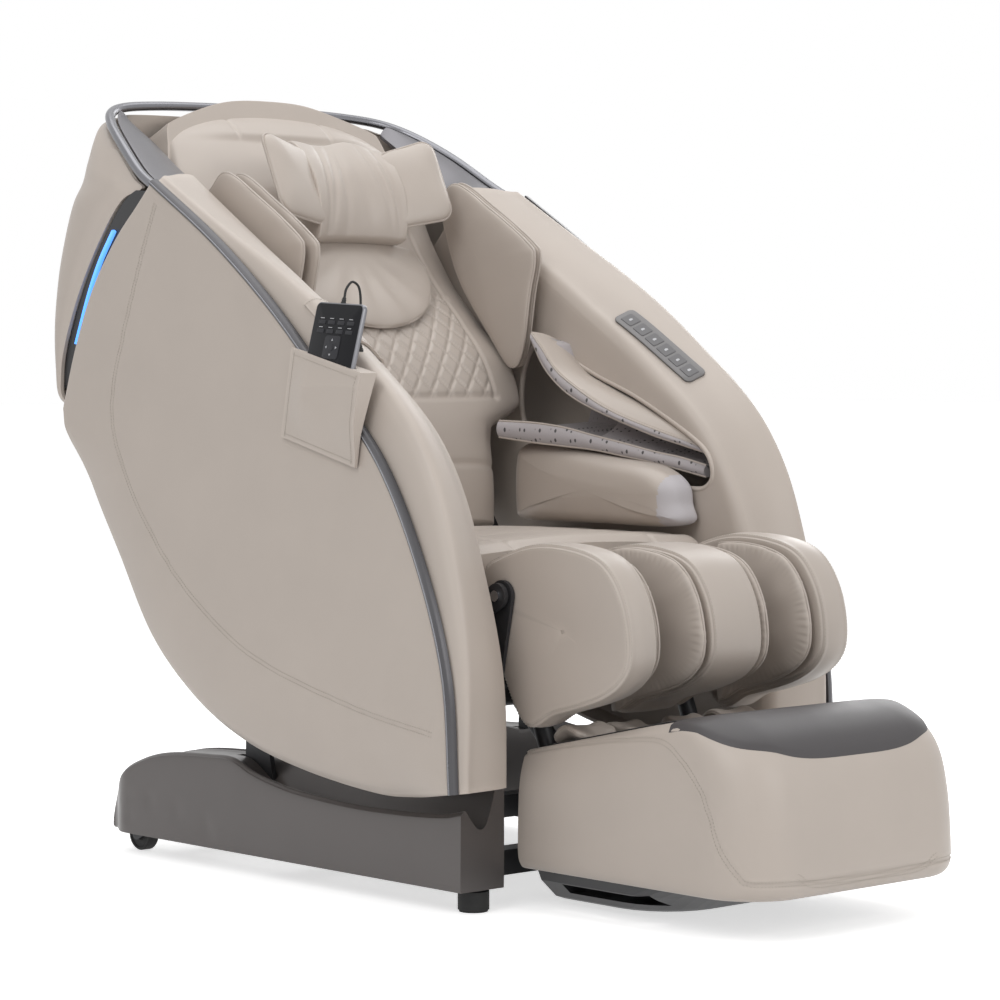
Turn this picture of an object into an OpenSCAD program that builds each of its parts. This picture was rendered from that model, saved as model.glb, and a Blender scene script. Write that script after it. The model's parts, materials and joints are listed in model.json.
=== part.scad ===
/* [Overall] */
// Half the width over the side shells
shell_x = 396; // [392:1:400]
// Thickness of the moulded side shells
shell_t = 5; // [4:0.5:7]
// Depth of the side shells' rims towards the middle
rim_x = 294; // [293:1:305]
// Inner face of the arms, from the middle
arm_in = 264; // [262:1:270]
// Thickness of the padded arm covers
arm_t = 8; // [6:1:12]
// Height of the padded crown on the arms, above the bright strip
crown = 66; // [54:1:68]
// Width of the bright strip between shell and arm
strip_w = 13; // [10:1:16]
// Gap between neighbouring covers
gap = 3; // [2:0.5:5]

/* [Base] */
// Outer face of the base covers, from the middle
cover_x = 330; // [324:1:338]
// Width of each base cover
cover_w = 82; // [78:1:86]
// Wall of the base covers
cover_t = 5; // [4:0.5:6]
// Underside of the base above the floor
base_z = 34; // [32:1:38]
// Height of the steel base tubes
rail_h = 36; // [32:1:38]
// Wall of the steel tubes
tube_t = 3; // [2:0.5:4]
// Radius of the front feet
foot_r = 22.5; // [18:0.5:25]
// Radius of the rear wheels
wheel_r = 27; // [24:0.5:30]
// Width of the rear wheels
wheel_w = 20; // [16:1:24]

/* [Seat] */
// Half the width of the seat cushion
seat_x = 254; // [245:1:258]
// Top of the seat cushion above the floor
seat_z = 520; // [510:1:530]
// Thickness of the seat cushion
seat_h = 88; // [80:1:92]
// Front face of the seat cushion, from the middle of the chair
seat_front = -150; // [-152:1:-130]

/* [Back] */
// Lean of the backrest from upright at rest, in degrees
back_lean = 24.8; // [24:0.1:25.6]
// Half the width of the back cushion at the shoulders
back_x = 252; // [240:1:256]
// Half the width of the back cushion at the seat
waist_x = 184; // [170:1:186]
// Thickness of the back cover
back_shell_t = 6; // [4:0.5:8]
// Half the thickness of the top rail, across and up
rail_r = 8; // [6:0.5:10]

/* [Legs] */
// Half the width of the calf rest
calf_x = 225; // [215:1:226]
// Thickness of the calf rest's side walls
calf_wall = 58; // [50:1:60]
// Half the width of the calf rest's middle pad
calf_mid = 52; // [44:1:56]
// Thickness of each calf airbag
airbag_t = 24; // [16:1:26]
// Half the width of the foot box
foot_x = 221; // [210:1:226]
// Wall of the foot box
foot_t = 10; // [8:1:14]
// Front end of the foot box, from the middle of the chair
foot_front = -700; // [-705:1:-690]

/* [Mechanism] */
// Radius of the hinge pins
pin_r = 8; // [6:0.5:9]
// Running clearance of pins and rods
run = 0.05; // [0.03:0.01:0.08]
// Thickness of the hinge plates
plate_t = 8; // [6:1:8]
// Radius of the actuator tubes
tube_r = 16; // [14:0.5:17]
// Radius of the actuator rods
rod_r = 8; // [7:0.5:9]

/* [Hidden] */
$fn = 48;

// Outlines in the side view, as [y, z]; +Y is behind the sitter
strip_line = [[400, 1044], [250, 954], [116, 856], [-6, 748], [-128, 636], [-213, 496],
    [-268, 342], [-282, 182]];
belly_line = [[-282, 182], [-170, 165], [-85, 163], [65, 180], [200, 210], [320, 264],
    [428, 350], [514, 474], [580, 570], [622, 648], [632, 702]];
split_line = [[632, 702], [598, 795], [552, 886], [491, 962], [434, 1013], [400, 1044]];
crescent_line = [[636, 716], [640, 750], [626, 805], [587, 887], [534, 963], [480, 1020],
    [425, 1046]];
wall_line = [[455, 1010], [520, 930], [560, 820], [540, 700], [470, 590], [330, 490],
    [140, 446], [-60, 440], [-170, 400], [-215, 300], [-235, 196]];
cover_line = [[618, 56], [596, 92], [530, 150], [450, 171], [360, 173], [280, 167], [180, 150],
    [0, 127], [-150, 109], [-225, 97], [-238, 82]];
calf_line = [[-162, 430], [-166, 478], [-200, 500], [-275, 520], [-358, 517], [-416, 497],
    [-452, 450], [-466, 390], [-456, 346], [-410, 312], [-318, 284], [-244, 270]];
rear_line = [[529, 470], [591, 560], [635, 640], [648, 668], [657, 692], [664, 714],
    [684, 780], [696, 850], [699, 915], [692, 975], [683, 1025], [675, 1060], [669, 1095],
    [664, 1125], [660, 1148], [657, 1159], [655, 1171]];
rail_line = [[-374, 411, 1041], [-367, 459, 1066], [-348, 531, 1113], [-326, 587, 1146],
    [-298, 626, 1168], [-256, 645, 1180], [-184, 652, 1186], [-90, 655, 1189], [0, 656, 1190]];

// Hinge places in the side view
hip = [270, 430];
knee = [-215, 445];
tilt = [280, 250];
back_foot = [262, 500];
slide_lean = 21.7;

// Actuator ends: pivot of the tube, pivot of the rod, and distance from the middle
tilt_act = [[-178, 104], [60, 330], 0];
recline_act = [[-70, 310], [322, 339], 70];
leg_act = [[150, 286], [-218, 388], -70];
tilt_stroke = 88;
recline_stroke = -84;
leg_stroke = 62;
eye_play = 8;
bolt_r = 5;

function mix(a, b, t) = a + (b - a) * t;
function unit(v) = v / norm(v);
function sum(v, i = 0) = i == len(v) - 1 ? v[i] : v[i] + sum(v, i + 1);
function smooth(t) = let(u = min(max(t, 0), 1)) u * u * (3 - 2 * u);
function bump(t) = sin(180 * min(max(t, 0), 1));

// Point at t (0 to 1) on the smooth curve through the knots k
function between(a, b, c, d, t) = 0.5 * (2 * b + (c - a) * t + (2 * a - 5 * b + 4 * c - d) * t * t
    + (3 * b - a - 3 * c + d) * t * t * t);
function on(k, t) = let(n = len(k) - 1, u = min(max(t, 0), 1) * n, i = min(floor(u), n - 1),
    a = i == 0 ? 2 * k[0] - k[1] : k[i - 1], d = i == n - 1 ? 2 * k[n] - k[n - 1] : k[i + 2])
    between(a, k[i], k[i + 1], d, u - i);
function path(k, n) = [for (i = [0:n]) on(k, i / n)];
// Outward normal of the strip line, which runs downwards with the sitter's front on its right
function heading(k, t) = unit(on(k, t + 0.01) - on(k, t - 0.01));
function outward(k, t) = let(d = heading(k, t)) [d.y, -d.x];

// Ring moved inwards by d
function area(r) = sum([for (i = [0:len(r) - 1]) let(a = r[i], b = r[(i + 1) % len(r)])
    a.x * b.y - b.x * a.y]);
function inset(r, d) = let(n = len(r), s = area(r) > 0 ? 1 : -1) [for (i = [0:n - 1])
    let(a = unit(r[i] - r[(i + n - 1) % n]), b = unit(r[(i + 1) % n] - r[i]),
        p = s * [-a.y, a.x], q = s * [-b.y, b.x]) r[i] + (p + q) * d / max(1 + p * q, 0.5)];
function drawn(r, s, c) = [for (p = r) mix(p, c, s)];
function ring_x(r, x) = [for (p = r) [x, p.x, p.y]];
function ring_z(r, z) = [for (p = r) [p.x, p.y, z]];
function rounded(x, y, r, n = 6) = [for (c = [[x - r, y - r, 0], [r - x, y - r, 90],
    [r - x, r - y, 180], [x - r, r - y, 270]]) for (i = [0:n])
    [c.x + r * cos(c[2] + 90 * i / n), c.y + r * sin(c[2] + 90 * i / n)]];

// Closed solid of triangles, turned outside out
function triple(p, f) = cross(p[f[0]], p[f[1]]) * p[f[2]];
module solid(points, faces) {
    turned = sum([for (f = faces) triple(points, f)]) > 0;
    polyhedron(points, [for (f = faces) turned ? [f[2], f[1], f[0]] : f]);
}

// Solid through rings of equal length, closed by a fan at each end
module loft(rings) {
    n = len(rings[0]);
    m = len(rings);
    points = [each [for (r = rings) each r], sum(rings[0]) / n, sum(rings[m - 1]) / n];
    solid(points, [
        for (i = [0:m - 2]) for (j = [0:n - 1]) let(a = i * n + j, b = i * n + (j + 1) % n)
            each [[a, b, a + n], [b, b + n, a + n]],
        for (j = [0:n - 1]) each [[m * n, (j + 1) % n, j],
            [m * n + 1, (m - 1) * n + j, (m - 1) * n + (j + 1) % n]]]);
}

// Solid between two grids of points of equal size
module slab(p, q) {
    m = len(p);
    n = len(p[0]);
    k = m * n;
    edge = [for (j = [0:n - 2]) j, for (i = [0:m - 2]) i * n + n - 1,
        for (j = [n - 1:-1:1]) (m - 1) * n + j, for (i = [m - 1:-1:1]) i * n];
    solid([each [for (r = p) each r], each [for (r = q) each r]], [
        for (i = [0:m - 2]) for (j = [0:n - 2]) let(a = i * n + j)
            each [[a, a + 1, a + n], [a + 1, a + n + 1, a + n],
                [k + a, k + a + n, k + a + 1], [k + a + 1, k + a + n, k + a + n + 1]],
        for (i = [0:len(edge) - 1]) let(a = edge[i], b = edge[(i + 1) % len(edge)])
            each [[b, a, k + a], [b, k + a, k + b]]]);
}

// Bar of the section s, given across and up, along the points of a path
function bar_rings(p, s, up) = [for (i = [0:len(p) - 1])
    let(d = unit(p[min(i + 1, len(p) - 1)] - p[max(i - 1, 0)]), a = unit(cross(d, up)),
        b = cross(a, d)) [for (q = s) p[i] + a * q.x + b * q.y]];
function oval(a, b, n = 10) = [for (i = [0:n - 1]) [a * cos(360 * i / n), b * sin(360 * i / n)]];

// Extrudes a side view outline from x0 to x1
module along_x(x0, x1) translate([x0, 0, 0]) rotate([90, 0, 90]) linear_extrude(x1 - x0)
    children();
module at_side(p, x0, x1, r) translate([x0, p.x, p.y]) rotate([0, 90, 0]) cylinder(x1 - x0, r, r);
module both() for (s = [0, 1]) mirror([s, 0, 0]) children();
module on_side(side) mirror([side < 0 ? 1 : 0, 0, 0]) children();
module in_back() translate([0, back_foot.x, back_foot.y]) rotate([-back_lean, 0, 0]) children();
function to_back(p) = let(d = p - back_foot) [d.x * cos(back_lean) - d.y * sin(back_lean),
    d.x * sin(back_lean) + d.y * cos(back_lean)];
module box(lo, hi) translate(lo) cube(hi - lo);
module tube(lo, hi, open) difference() {
    box(lo, hi);
    box([for (i = [0:2]) lo[i] + (i == open ? -1 : tube_t)],
        [for (i = [0:2]) hi[i] - (i == open ? -1 : tube_t)]);
}

// Flat link from x0 to x1 between two round ends, given as side view point and radius
module link(a, ra, b, rb, x0, x1) {
    d = unit(b - a);
    s = [-d.y, d.x];
    along_x(x0, x1) polygon([a + s * ra, b + s * rb, b - s * rb, a - s * ra]);
    at_side(a, x0, x1, ra);
    at_side(b, x0, x1, rb);
}

/* Base */
module base_cover(side) color("#5c5757") on_side(side) {
    in_x = cover_x - cover_w;
    top = path(cover_line, 26);
    edge = [each top, [-238, base_z], [618, base_z]];
    roof = [for (p = path(cover_line, 26)) [max(min(p.x, 618 - cover_t), cover_t - 238), p.y]];
    difference() {
        loft([ring_x(edge, in_x), ring_x(edge, cover_x - 9), ring_x(inset(edge, 3), cover_x - 3),
            ring_x(inset(edge, 10), cover_x)]);
        along_x(in_x - 1, cover_x - 26)
            polygon([each [for (p = roof) p - [0, 17]], [cover_t - 238, 0], [618 - cover_t, 0]]);
        scoop_r = 62;
        translate([cover_x + 22, 330, 222]) rotate([90 + 9.6, 0, 0]) cylinder(620, scoop_r, scoop_r);
        along_x(cover_x - 2.5, cover_x + 1)
            polygon([[592, 62], [586, 78], [566, 80], [418, 56], [424, 50], [560, 56]]);
        box([277, 232, 130], [290, 322, 200]);
    }
}

module base_frame() color("#3c3d40") {
    top = base_z + 8 + rail_h;
    low = base_z + 8;
    both() {
        tube([254, -215, low], [300, 540, top], 1);
        difference() {
            union() {
                link([262, 66], 44, tilt, 20, 279, 279 + plate_t);
                for (x = [262, 289]) link([528, low + 14], 13, [577, wheel_r], 10, x, x + 4);
            }
            at_side(tilt, 270, 300, pin_r + run);
            box([250, 200, 0], [320, 330, low]);
        }
        at_side([577, wheel_r], 262, 293, 5);
    }
    for (y = [-195, 237, 505]) tube([-254.5, y, low], [254.5, y + 36, top], 0);
    clevis(tilt_act[0], [-178, top], tilt_act[2]);
}

// Two small plates round an actuator's end, with the bolt across them
module clevis(p, root, x) {
    for (s = [0, 1]) translate([x, 0, 0]) mirror([s, 0, 0])
        link(root, 13, p, 11, bolt_r + 8, bolt_r + 13);
    at_side(p, x - 18, x + 18, bolt_r);
}

module front_feet() color("#232325") both() {
    for (p = [[0, 9, foot_r - 2], [3, base_z - 8, foot_r], [base_z - 5, 5, 14]])
        translate([277, -206, p[0]]) cylinder(p[1], p[2], p[2]);
    translate([277, -206, 0]) cylinder(base_z + 8, 8, 8);
}

module rear_wheel(side) color("#232325") on_side(side) translate([277.5, 577, wheel_r])
    rotate([0, 90, 0]) rotate_extrude() {
        w = wheel_w / 2;
        polygon([[5 + run, -w], [11, -w], [12, 2 - w], [wheel_r - 6, 2 - w], [wheel_r - 4, -w],
            [wheel_r - 1.5, -w], [wheel_r, 2 - w], [wheel_r, w - 2], [wheel_r - 1.5, w],
            [wheel_r - 4, w], [wheel_r - 6, w - 2], [12, w - 2], [11, w], [5 + run, w]]);
    }

module power_box() color("#2b2b2d") difference() {
    low = base_z + 8 + rail_h;
    box([-110, 480, low], [110, 592, low + 62]);
    box([-80, 580, low + 14], [-44, 593, low + 40]);
    box([10, 585.6, low + 14], [30.6, 593, low + 42.6]);
    translate([74, 593, low + 28]) rotate([90, 0, 0]) cylinder(9, 8, 8);
}

module power_switch() color("#b5261f") difference() {
    low = base_z + 8 + rail_h;
    translate([20.3, 587.8, low + 28.3]) rotate([0, 90, 0])
        linear_extrude(19.4, center = true) difference() {
            polygon([[-12, -0.6], [-12.5, 5], [0, 3], [12.5, 7], [12, -0.6]]);
        }
}

/* Seat */
module seat_frame() color("#44464a") {
    low = seat_z - seat_h - 44;
    top = low + 38;
    both() {
        tube([205, -110, low], [235, 232, top], 1);
        difference() {
            union() {
                link([-85, low + 18], 17, [-158, low + 20], 14, 235, 235 + plate_t);
                link([-158, low + 20], 14, knee, 18, 235, 235 + plate_t);
                link([215, low + 18], 17, hip, 20, 235, 235 + plate_t);
                link([215, low + 18], 17, tilt, 20, 268, 268 + plate_t);
            }
            at_side(knee, 230, 250, pin_r);
            at_side(hip, 230, 250, pin_r);
            at_side(tilt, 260, 280, pin_r);
        }
        for (y = [-105, 195]) box([shell_x - 24, y - 20, low - 20], [shell_x - 18, y + 56, top + 20]);
    }
    for (y = [-105, 195]) tube([-shell_x + 20, y, low], [shell_x - 20, y + 36, top], 0);
    tube([-205.5, 42, low], [205.5, 78, top], 0);
    clevis(tilt_act[1], [60, low + 6], tilt_act[2]);
    clevis(recline_act[0], [-87, low + 6], recline_act[2]);
    clevis(leg_act[0], [213, low + 6], leg_act[2]);
}

module seat_pan() color("#2f3033") {
    z = seat_z - seat_h - 6;
    difference() {
        box([-230, -138, z], [230, 228, z + 5]);
        for (x = [-150:60:150]) box([x - 20, -60, z - 1], [x + 20, 150, z + 6]);
    }
}

module hinge_pins() color("#9a9da1") both() {
    at_side(knee, 226, 246, pin_r);
    at_side(hip, 221, 247, pin_r);
    at_side(tilt, 265, 291, pin_r);
}

function seat_rise(x, y) = 6 * (cos(180 * x / seat_x / 1.2))
    + 5 * pow(abs(cos(180 * (y - seat_front) / 82)), 0.5)
    - 12 * smooth((y - 120) / 120) - 14 * pow(1 - smooth((y - seat_front) / 34), 2);
module seat_cushion() color("#b9ada0") {
    low = seat_z - seat_h;
    back = 228;
    m = 16;
    n = 12;
    slab([for (i = [0:m]) [for (j = [0:n]) let(y = mix(seat_front, back, i / m),
            x = mix(-seat_x, seat_x, j / n), e = min(1, 12 * min(j, n - j) / n))
            [x, y, seat_z - 8 + seat_rise(x, y) - 12 * (1 - e)]]],
        [for (i = [0:m]) [for (j = [0:n]) [mix(-seat_x, seat_x, j / n) * 0.985,
            mix(seat_front + 4, back - 2, i / m), low]]]);
}

module hip_cushions() color("#b9ada0") both() {
    edge = path([[236, 520], [238, 600], [218, 644], [120, 640], [20, 626], [-66, 614],
        [-112, 590], [-121, 560], [-116, 524], [60, 522], [236, 520]], 22);
    ring = [for (i = [0:21]) edge[i]];
    c = [60, 575];
    loft([ring_x(drawn(ring, 0.12, c), 258), ring_x(drawn(ring, 0.03, c), 256),
        ring_x(ring, 244), ring_x(drawn(ring, 0.02, c), 222), ring_x(drawn(ring, 0.12, c), 204),
        ring_x(drawn(ring, 0.4, c), 193), ring_x(drawn(ring, 0.7, c), 190)]);
}

/* Arms */
// Outline of a side shell: down the front, under the belly and up the split line
shell_ring = [for (i = [0:21]) on(strip_line, i / 22), for (i = [0:25]) on(belly_line, i / 26),
    for (i = [0:9]) on(split_line, i / 10)];
shell_mid = [140, 560];
function shell_deep(i) = i < 22 ? 0 : i < 48 ? smooth((i - 22) / 3) * smooth((47 - i) / 4) : 0;
function shell_ring_at(s, front, rear) = [for (i = [0:len(shell_ring) - 1])
    let(p = mix(shell_ring[i], shell_mid, s)) [mix(front, rear, shell_deep(i)), p.x, p.y]];
module side_shell(side) color("#c9bfb3") on_side(side) loft([
    shell_ring_at(0.55, shell_x, shell_x), shell_ring_at(0.24, shell_x - 1, shell_x - 3),
    shell_ring_at(0.07, shell_x - 2, shell_x - 13), shell_ring_at(0.02, shell_x - 3, shell_x - 25),
    shell_ring_at(0, shell_x - 6, shell_x - 40), shell_ring_at(0.006, shell_x - 14, rim_x),
    shell_ring_at(0.019, shell_x - 14, rim_x), shell_ring_at(0.016, shell_x - 10, shell_x - 43),
    shell_ring_at(0.08, shell_x - 8, shell_x - 18 - shell_t),
    shell_ring_at(0.24, shell_x - 1 - shell_t, shell_x - 3 - shell_t),
    shell_ring_at(0.55, shell_x - shell_t, shell_x - shell_t)]);

module chrome_strips() color("#8a8b8f") both() {
    n = 26;
    x1 = shell_x - 2;
    x0 = x1 - strip_w;
    loft([for (i = [0:n]) let(t = i / n, p = on(strip_line, t), o = outward(strip_line, t))
        [for (q = [[x1, 1.5], [x1 - 2, 5], [x0 + 1, 9], [x0 - 1, 9], [x0 - 1, 2], [x0 + 3, 1]])
            [q.x, p.x + o.x * q.y, p.y + o.y * q.y]]]);
}

// Section of the padded arm: from beside the strip, over the crown, to the inner face
crown_share = [[0, 0.15], [1, 0.24], [2, 0.54], [3, 0.84], [4, 1], [5, 0.93], [6, 0.58], [7, 0.3],
    [8, 0.12]];
function arm_crown(t) = crown * on(crown_share, t).y;
// Height of the crease between the sloping top and the inner face
function arm_crease(t) = arm_crown(t) - crown * min(0.24 + t * 1.3, 0.6 - 0.35 * smooth((t - 0.6) / 0.4));
arm_far = shell_x - strip_w - 6;
function arm_section(t, d) = let(c = arm_crown(t), e = arm_crease(t)) [[arm_far - d, -14],
    [arm_far - d, 4 - d * 0.4], [arm_far - 4 - d * 0.6, 4 + c * 0.4 - d],
    [arm_far - 12, 5 + c * 0.75 - d], [arm_far - 25, c - d], [mix(arm_in, arm_far, 0.48),
    mix(c, e, 0.38) + 3 - d], [arm_in + 22, e + 5 - d], [arm_in + 9 + d * 0.5, e - 3 - d * 0.8],
    [arm_in + 2 + d * 0.9, e - 16 - d * 0.4], [arm_in + d, arm_foot(t)]];
function arm_foot(t) = min(-16, arm_crease(t) - 26);
// Slope of the joint with the top caps: the inner edge reaches further back
function skew(x, t) = 48 * (arm_far - x) / (arm_far - arm_in) * pow(1 - min(t * 7, 1), 2);
function arm_row(t, d, m) = let(p = on(strip_line, t), o = outward(strip_line, t),
    h = heading(strip_line, t), s = arm_section(t, d), e = on(wall_line, t),
    f = p + o * arm_foot(t) - h * skew(arm_in, t)) [
    for (q = s) let(r = p + o * q.y - h * skew(q.x, t)) [q.x, r.x, r.y],
    for (k = [1:m]) let(r = mix(f, e, k / m)) [arm_in + d, r.x, r.y]];
module arm_band(side) color("#c9bfb3") on_side(side) difference() {
    n = 22;
    slab([for (i = [0:n]) arm_row(i / n, 0, 2)], [for (i = [0:n]) arm_row(i / n, arm_t, 2)]);
    along_x(arm_in - 5, arm_in + arm_t + 5) polygon(path(arm_hole, 36));
}
// Opening for the forearm in the inner face of the arm
arm_hole = [[-90, 581], [-130, 582], [-148, 600], [-138, 632], [-98, 662], [10, 716], [108, 753],
    [190, 790], [232, 812], [262, 790], [280, 740], [276, 680], [240, 640], [120, 612],
    [0, 592], [-90, 581]];

module forearm_pads() color("#a9a0a3") both() {
    // Lower jaw, from inside the arm out over the hip cushion
    slab([for (i = [0:8]) [for (j = [0:4]) let(t = i / 8, x = mix(172, 366, j / 4),
            p = on([[-126, 618], [-60, 634], [20, 649], [100, 664], [170, 675], [212, 682]], t))
            [x, p.x, p.y - 6 + 5 * bump(j / 4) * bump(0.1 + t * 0.8)
                - 30 * smooth((j - 0.7) / 3.3) * 0.3]]],
        [for (i = [0:8]) [for (j = [0:4]) let(t = i / 8, x = mix(176, 362, j / 4),
            p = on([[-118, 605], [-60, 624], [20, 636], [100, 649], [170, 656], [208, 660]], t))
            [x, p.x, p.y - 12 * smooth((j - 1.8) / 2.2)]]]);
    // Upper jaw, hanging from the upper edge of the opening
    slab([for (i = [0:8]) [for (j = [0:4]) let(t = i / 8, x = mix(204, 366, j / 4),
            p = on([[-104, 648], [-30, 672], [50, 702], [120, 732], [180, 762], [212, 780]], t))
            [x, p.x, p.y + 6 + 10 * bump(j / 4) * bump(0.1 + t * 0.8)]]],
        [for (i = [0:8]) [for (j = [0:4]) let(t = i / 8, x = mix(206, 362, j / 4),
            p = on([[-104, 644], [-30, 660], [50, 684], [120, 712], [180, 741], [210, 758]], t))
            [x, p.x, p.y]]]);
}

/* Control panel on the left arm */
panel_t = [0.315, 0.475];
panel_x = [[281, 311], [293, 323]];
panel_lift = 4;
function panel_at(u, v, h) = let(t = mix(panel_t[0], panel_t[1], u), p = on(strip_line, t),
    o = outward(strip_line, t), x = mix(mix(panel_x[0][0], panel_x[1][0], u),
    mix(panel_x[0][1], panel_x[1][1], u), v), k = arm_section(t, 0),
    d = unit(k[5] - k[6]), q = mix(k[6], k[5], (x - k[6].x) / (k[5].x - k[6].x))
    + [-d.y, d.x] * h) [q.x, p.x + o.x * q.y, p.y + o.y * q.y];
module control_panel() color("#8d8a8b") difference() {
    slab([for (i = [0:10]) [for (j = [0:3]) panel_at(i / 10, j / 3, panel_lift)]],
        [for (i = [0:10]) [for (j = [0:3]) panel_at(i / 10, j / 3, 1.6)]]);
    for (k = [1:6]) in_key(k) box([-8.6, -10.4, -1.2], [8.6, 10.4, 8]);
}
// Frame of a key: down the arm, across it and outwards
module in_key(k) {
    u = (k - 0.3) / 6.4;
    p = panel_at(u, 0.5, panel_lift - 1.4);
    a = unit(panel_at(u + 0.02, 0.5, 0) - panel_at(u - 0.02, 0.5, 0));
    b = unit(panel_at(u, 1, 0) - panel_at(u, 0, 0));
    n = unit(cross(a, b));
    c = cross(n, a);
    multmatrix([for (i = [0:2]) [a[i], c[i], n[i], p[i]]]) children();
}
module panel_key(k) color("#7c797b") in_key(k) box([-8.2, -10, -0.2], [8.2, 10, 2.2]);

/* Remote, pocket and cord on the right arm */
// Frame of the remote: width, outwards and up, from the middle of its lower end
remote_v = unit([0.225, -0.053, 1]);
remote_w = unit(cross(remote_v, [0, 1, 0.054]));
remote_u = cross(remote_w, remote_v);
remote_foot = [-shell_x - 4.6, -38, 741];
module in_remote() multmatrix([for (i = [0:2]) [remote_u[i], remote_w[i], remote_v[i],
    remote_foot[i]]]) children();
remote_x = 53;
remote_t = 10;
remote_z = 120;

// The pocket's back lies on the shell below the strip, and leans in over the arm above it
pocket_back = [[[70, 668], [-96, 627]], [[45, 796], [-118, 760]]];
function pocket_at(u, v) = let(s = mix(0.97, 0.32, u), p = mix(mix(pocket_back[0][0],
    pocket_back[0][1], u), mix(pocket_back[1][0], pocket_back[1][1], u), v))
    [-shell_x - 1.5 + 18 * smooth(u * 1.4) * pow(max((v - s) / (1 - s), 0), 1.15), p.x, p.y];
function pocket_front(u, v) = let(p = pocket_at(u, v), bed = remote_foot.x
    + max(p.z - remote_foot.z, 0) * remote_v.x / remote_v.z - remote_t - 2.4)
    [mix(p.x - 5, min(p.x - 5, bed), smooth(v / 0.5) * smooth(u / 0.3)), p.y, p.z];
module remote_pocket() color("#c9bfb3") {
    difference() {
        slab([for (i = [0:6]) [for (j = [0:5]) pocket_front(i / 6, j / 5)]],
            [for (i = [0:6]) [for (j = [0:5]) pocket_at(i / 6, j / 5)]]);
        in_remote() box([-remote_x - 0.4, -0.4, -0.4], [remote_x + 0.4, remote_t + 0.4, 300]);
    }
    slab([for (i = [0:6]) [for (j = [0:7]) flap_at(mix(flap_t[0], flap_t[1], i / 6), j / 7, 4.8)]],
        [for (i = [0:6]) [for (j = [0:7]) flap_at(mix(flap_t[0], flap_t[1], i / 6), j / 7, 2.2)]]);
}
// Flap of the pocket, which lies over the padded crown of the arm
flap_t = [0.322, 0.41];
function flap_at(t, u, h) = let(p = on(strip_line, t), o = outward(strip_line, t),
    k = [for (i = [2:9]) arm_section(t, 0)[i]], v = 0.12 + 0.86 * u, q = on(k, v),
    d = unit(on(k, v + 0.02) - on(k, v - 0.02))) [-q.x - h * d.y,
    p.x + o.x * (q.y - h * d.x), p.y + o.y * (q.y - h * d.x)];
module remote_body() color("#1c1c1f") in_remote() difference() {
    union() {
        loft([for (h = [[0, 4], [4, 0], [remote_z - 5, 0], [remote_z, 4]])
            ring_z([for (p = inset(rounded(remote_x, remote_t / 2, 4.6, 4), h[1]))
                p + [0, remote_t / 2]], h[0])]);
        translate([0, remote_t / 2, remote_z - 1]) cylinder(9, 4, 3);
    }
    box([-44, remote_t - 1.6, 34], [44, 30, 108]);
}
module remote_keypad() color("#3a3a3e") in_remote() difference() {
    union() {
        box([-43.8, remote_t - 1.6, 34.2], [43.8, remote_t - 0.6, 107.8]);
        for (i = [0:3]) for (j = [0:1]) box([21 * i - 39.5, remote_t - 1, 86 - 12 * j],
            [21 * i - 23.5, remote_t + 0.5, 93 - 12 * j]);
    }
    translate([0, 30, 54]) rotate([90, 0, 0]) cylinder(40, 9.3, 9.3);
}
module nav_pad() color("#4a4a50") in_remote() translate([0, remote_t + 0.8, 54])
    rotate([90, 0, 0]) cylinder(1.6, 9, 9);
// Cord of the remote: up out of its top end and down into the gland on the arm
cord_r = 1.8;
cord_line = [[-377.4, -44.7, 867.2], [-374.4, -45, 879], [-364, -45.2, 889], [-352.6, -45.6, 883],
    [-349, -46, 867], [-349.4, -46, 846], [-351, -46, 822], [-352, -46, 800]];
module remote_cord() color("#1c1c1f")
    loft(bar_rings([for (i = [0:22]) on(cord_line, i / 22)], oval(cord_r, cord_r, 8), [0.3, 1, 0.1]));
module cord_gland() color("#1c1c1f") translate([-352, -46, 780]) cylinder(19, 6.5, 4);

/* Back */
module back_frame() color("#44464a") {
    h = to_back(hip);
    difference() {
        union() {
            both() link(hip, 20, hip + [74, 118], 18, 222, 222 + plate_t);
            at_side(hip, -224, 224, 14);
        }
        both() at_side(hip, 220, 240, pin_r + run);
    }
    in_back() {
        both() {
            tube([200, 52, 70], [230, 92, 700], 2);
            difference() {
                along_x(104, 110) polygon([[44, 60], [96, 60], [96, 720], [44, 720]]);
                box([100, 61.5, 110], [120, 78.5, 640]);
            }
        }
        for (z = [66, 690]) tube([-200.5, 60, z], [200.5, 90, z + 30], 0);
    }
    clevis(recline_act[1], hip, recline_act[2]);
}

// Back cover: from the edge line e round the rear to the middle line c
function cover_row(e, c, d, n) = [for (j = [-n:n]) let(a = 90 - 90 * abs(j) / n,
    k = 0.5 - 0.14 * bump((c.y - 800) / 400), u = pow(sin(a), k), v = pow(cos(a), k))
    [sign(j) * (e.x - d) * v,
    mix(e.y, c.x - d, u), mix(e.z, c.y, u)]];
edge_line = [[256, 486, 470], [256, 548, 560], [256, 592, 640], [270, 606, 668],
    [334, 618, 692], [386, 632, 714], [388, 640, 752], [388, 627, 808], [386, 589, 889],
    [384, 537, 966], [382, 485, 1022], [378, 438, 1039], [369, 471, 1056], [349, 538, 1100],
    [326, 594, 1131], [298, 632, 1152], [254, 648, 1166]];
module back_shell() color("#c9bfb3") {
    m = 26;
    n = 8;
    slab([for (i = [0:m]) cover_row(on(edge_line, i / m), on(rear_line, i / m), 0, n)],
        [for (i = [0:m]) cover_row(on(edge_line, i / m), on(rear_line, i / m), back_shell_t, n)]);
}

module top_rail() color("#6f6e72") {
    half = [for (i = [0:16]) on(rail_line, i / 16)];
    all = [each half, for (i = [15:-1:0]) [-half[i].x, half[i].y, half[i].z]];
    loft(bar_rings(all, oval(rail_r, rail_r, 8), [0, -0.5, 1]));
}

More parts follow.
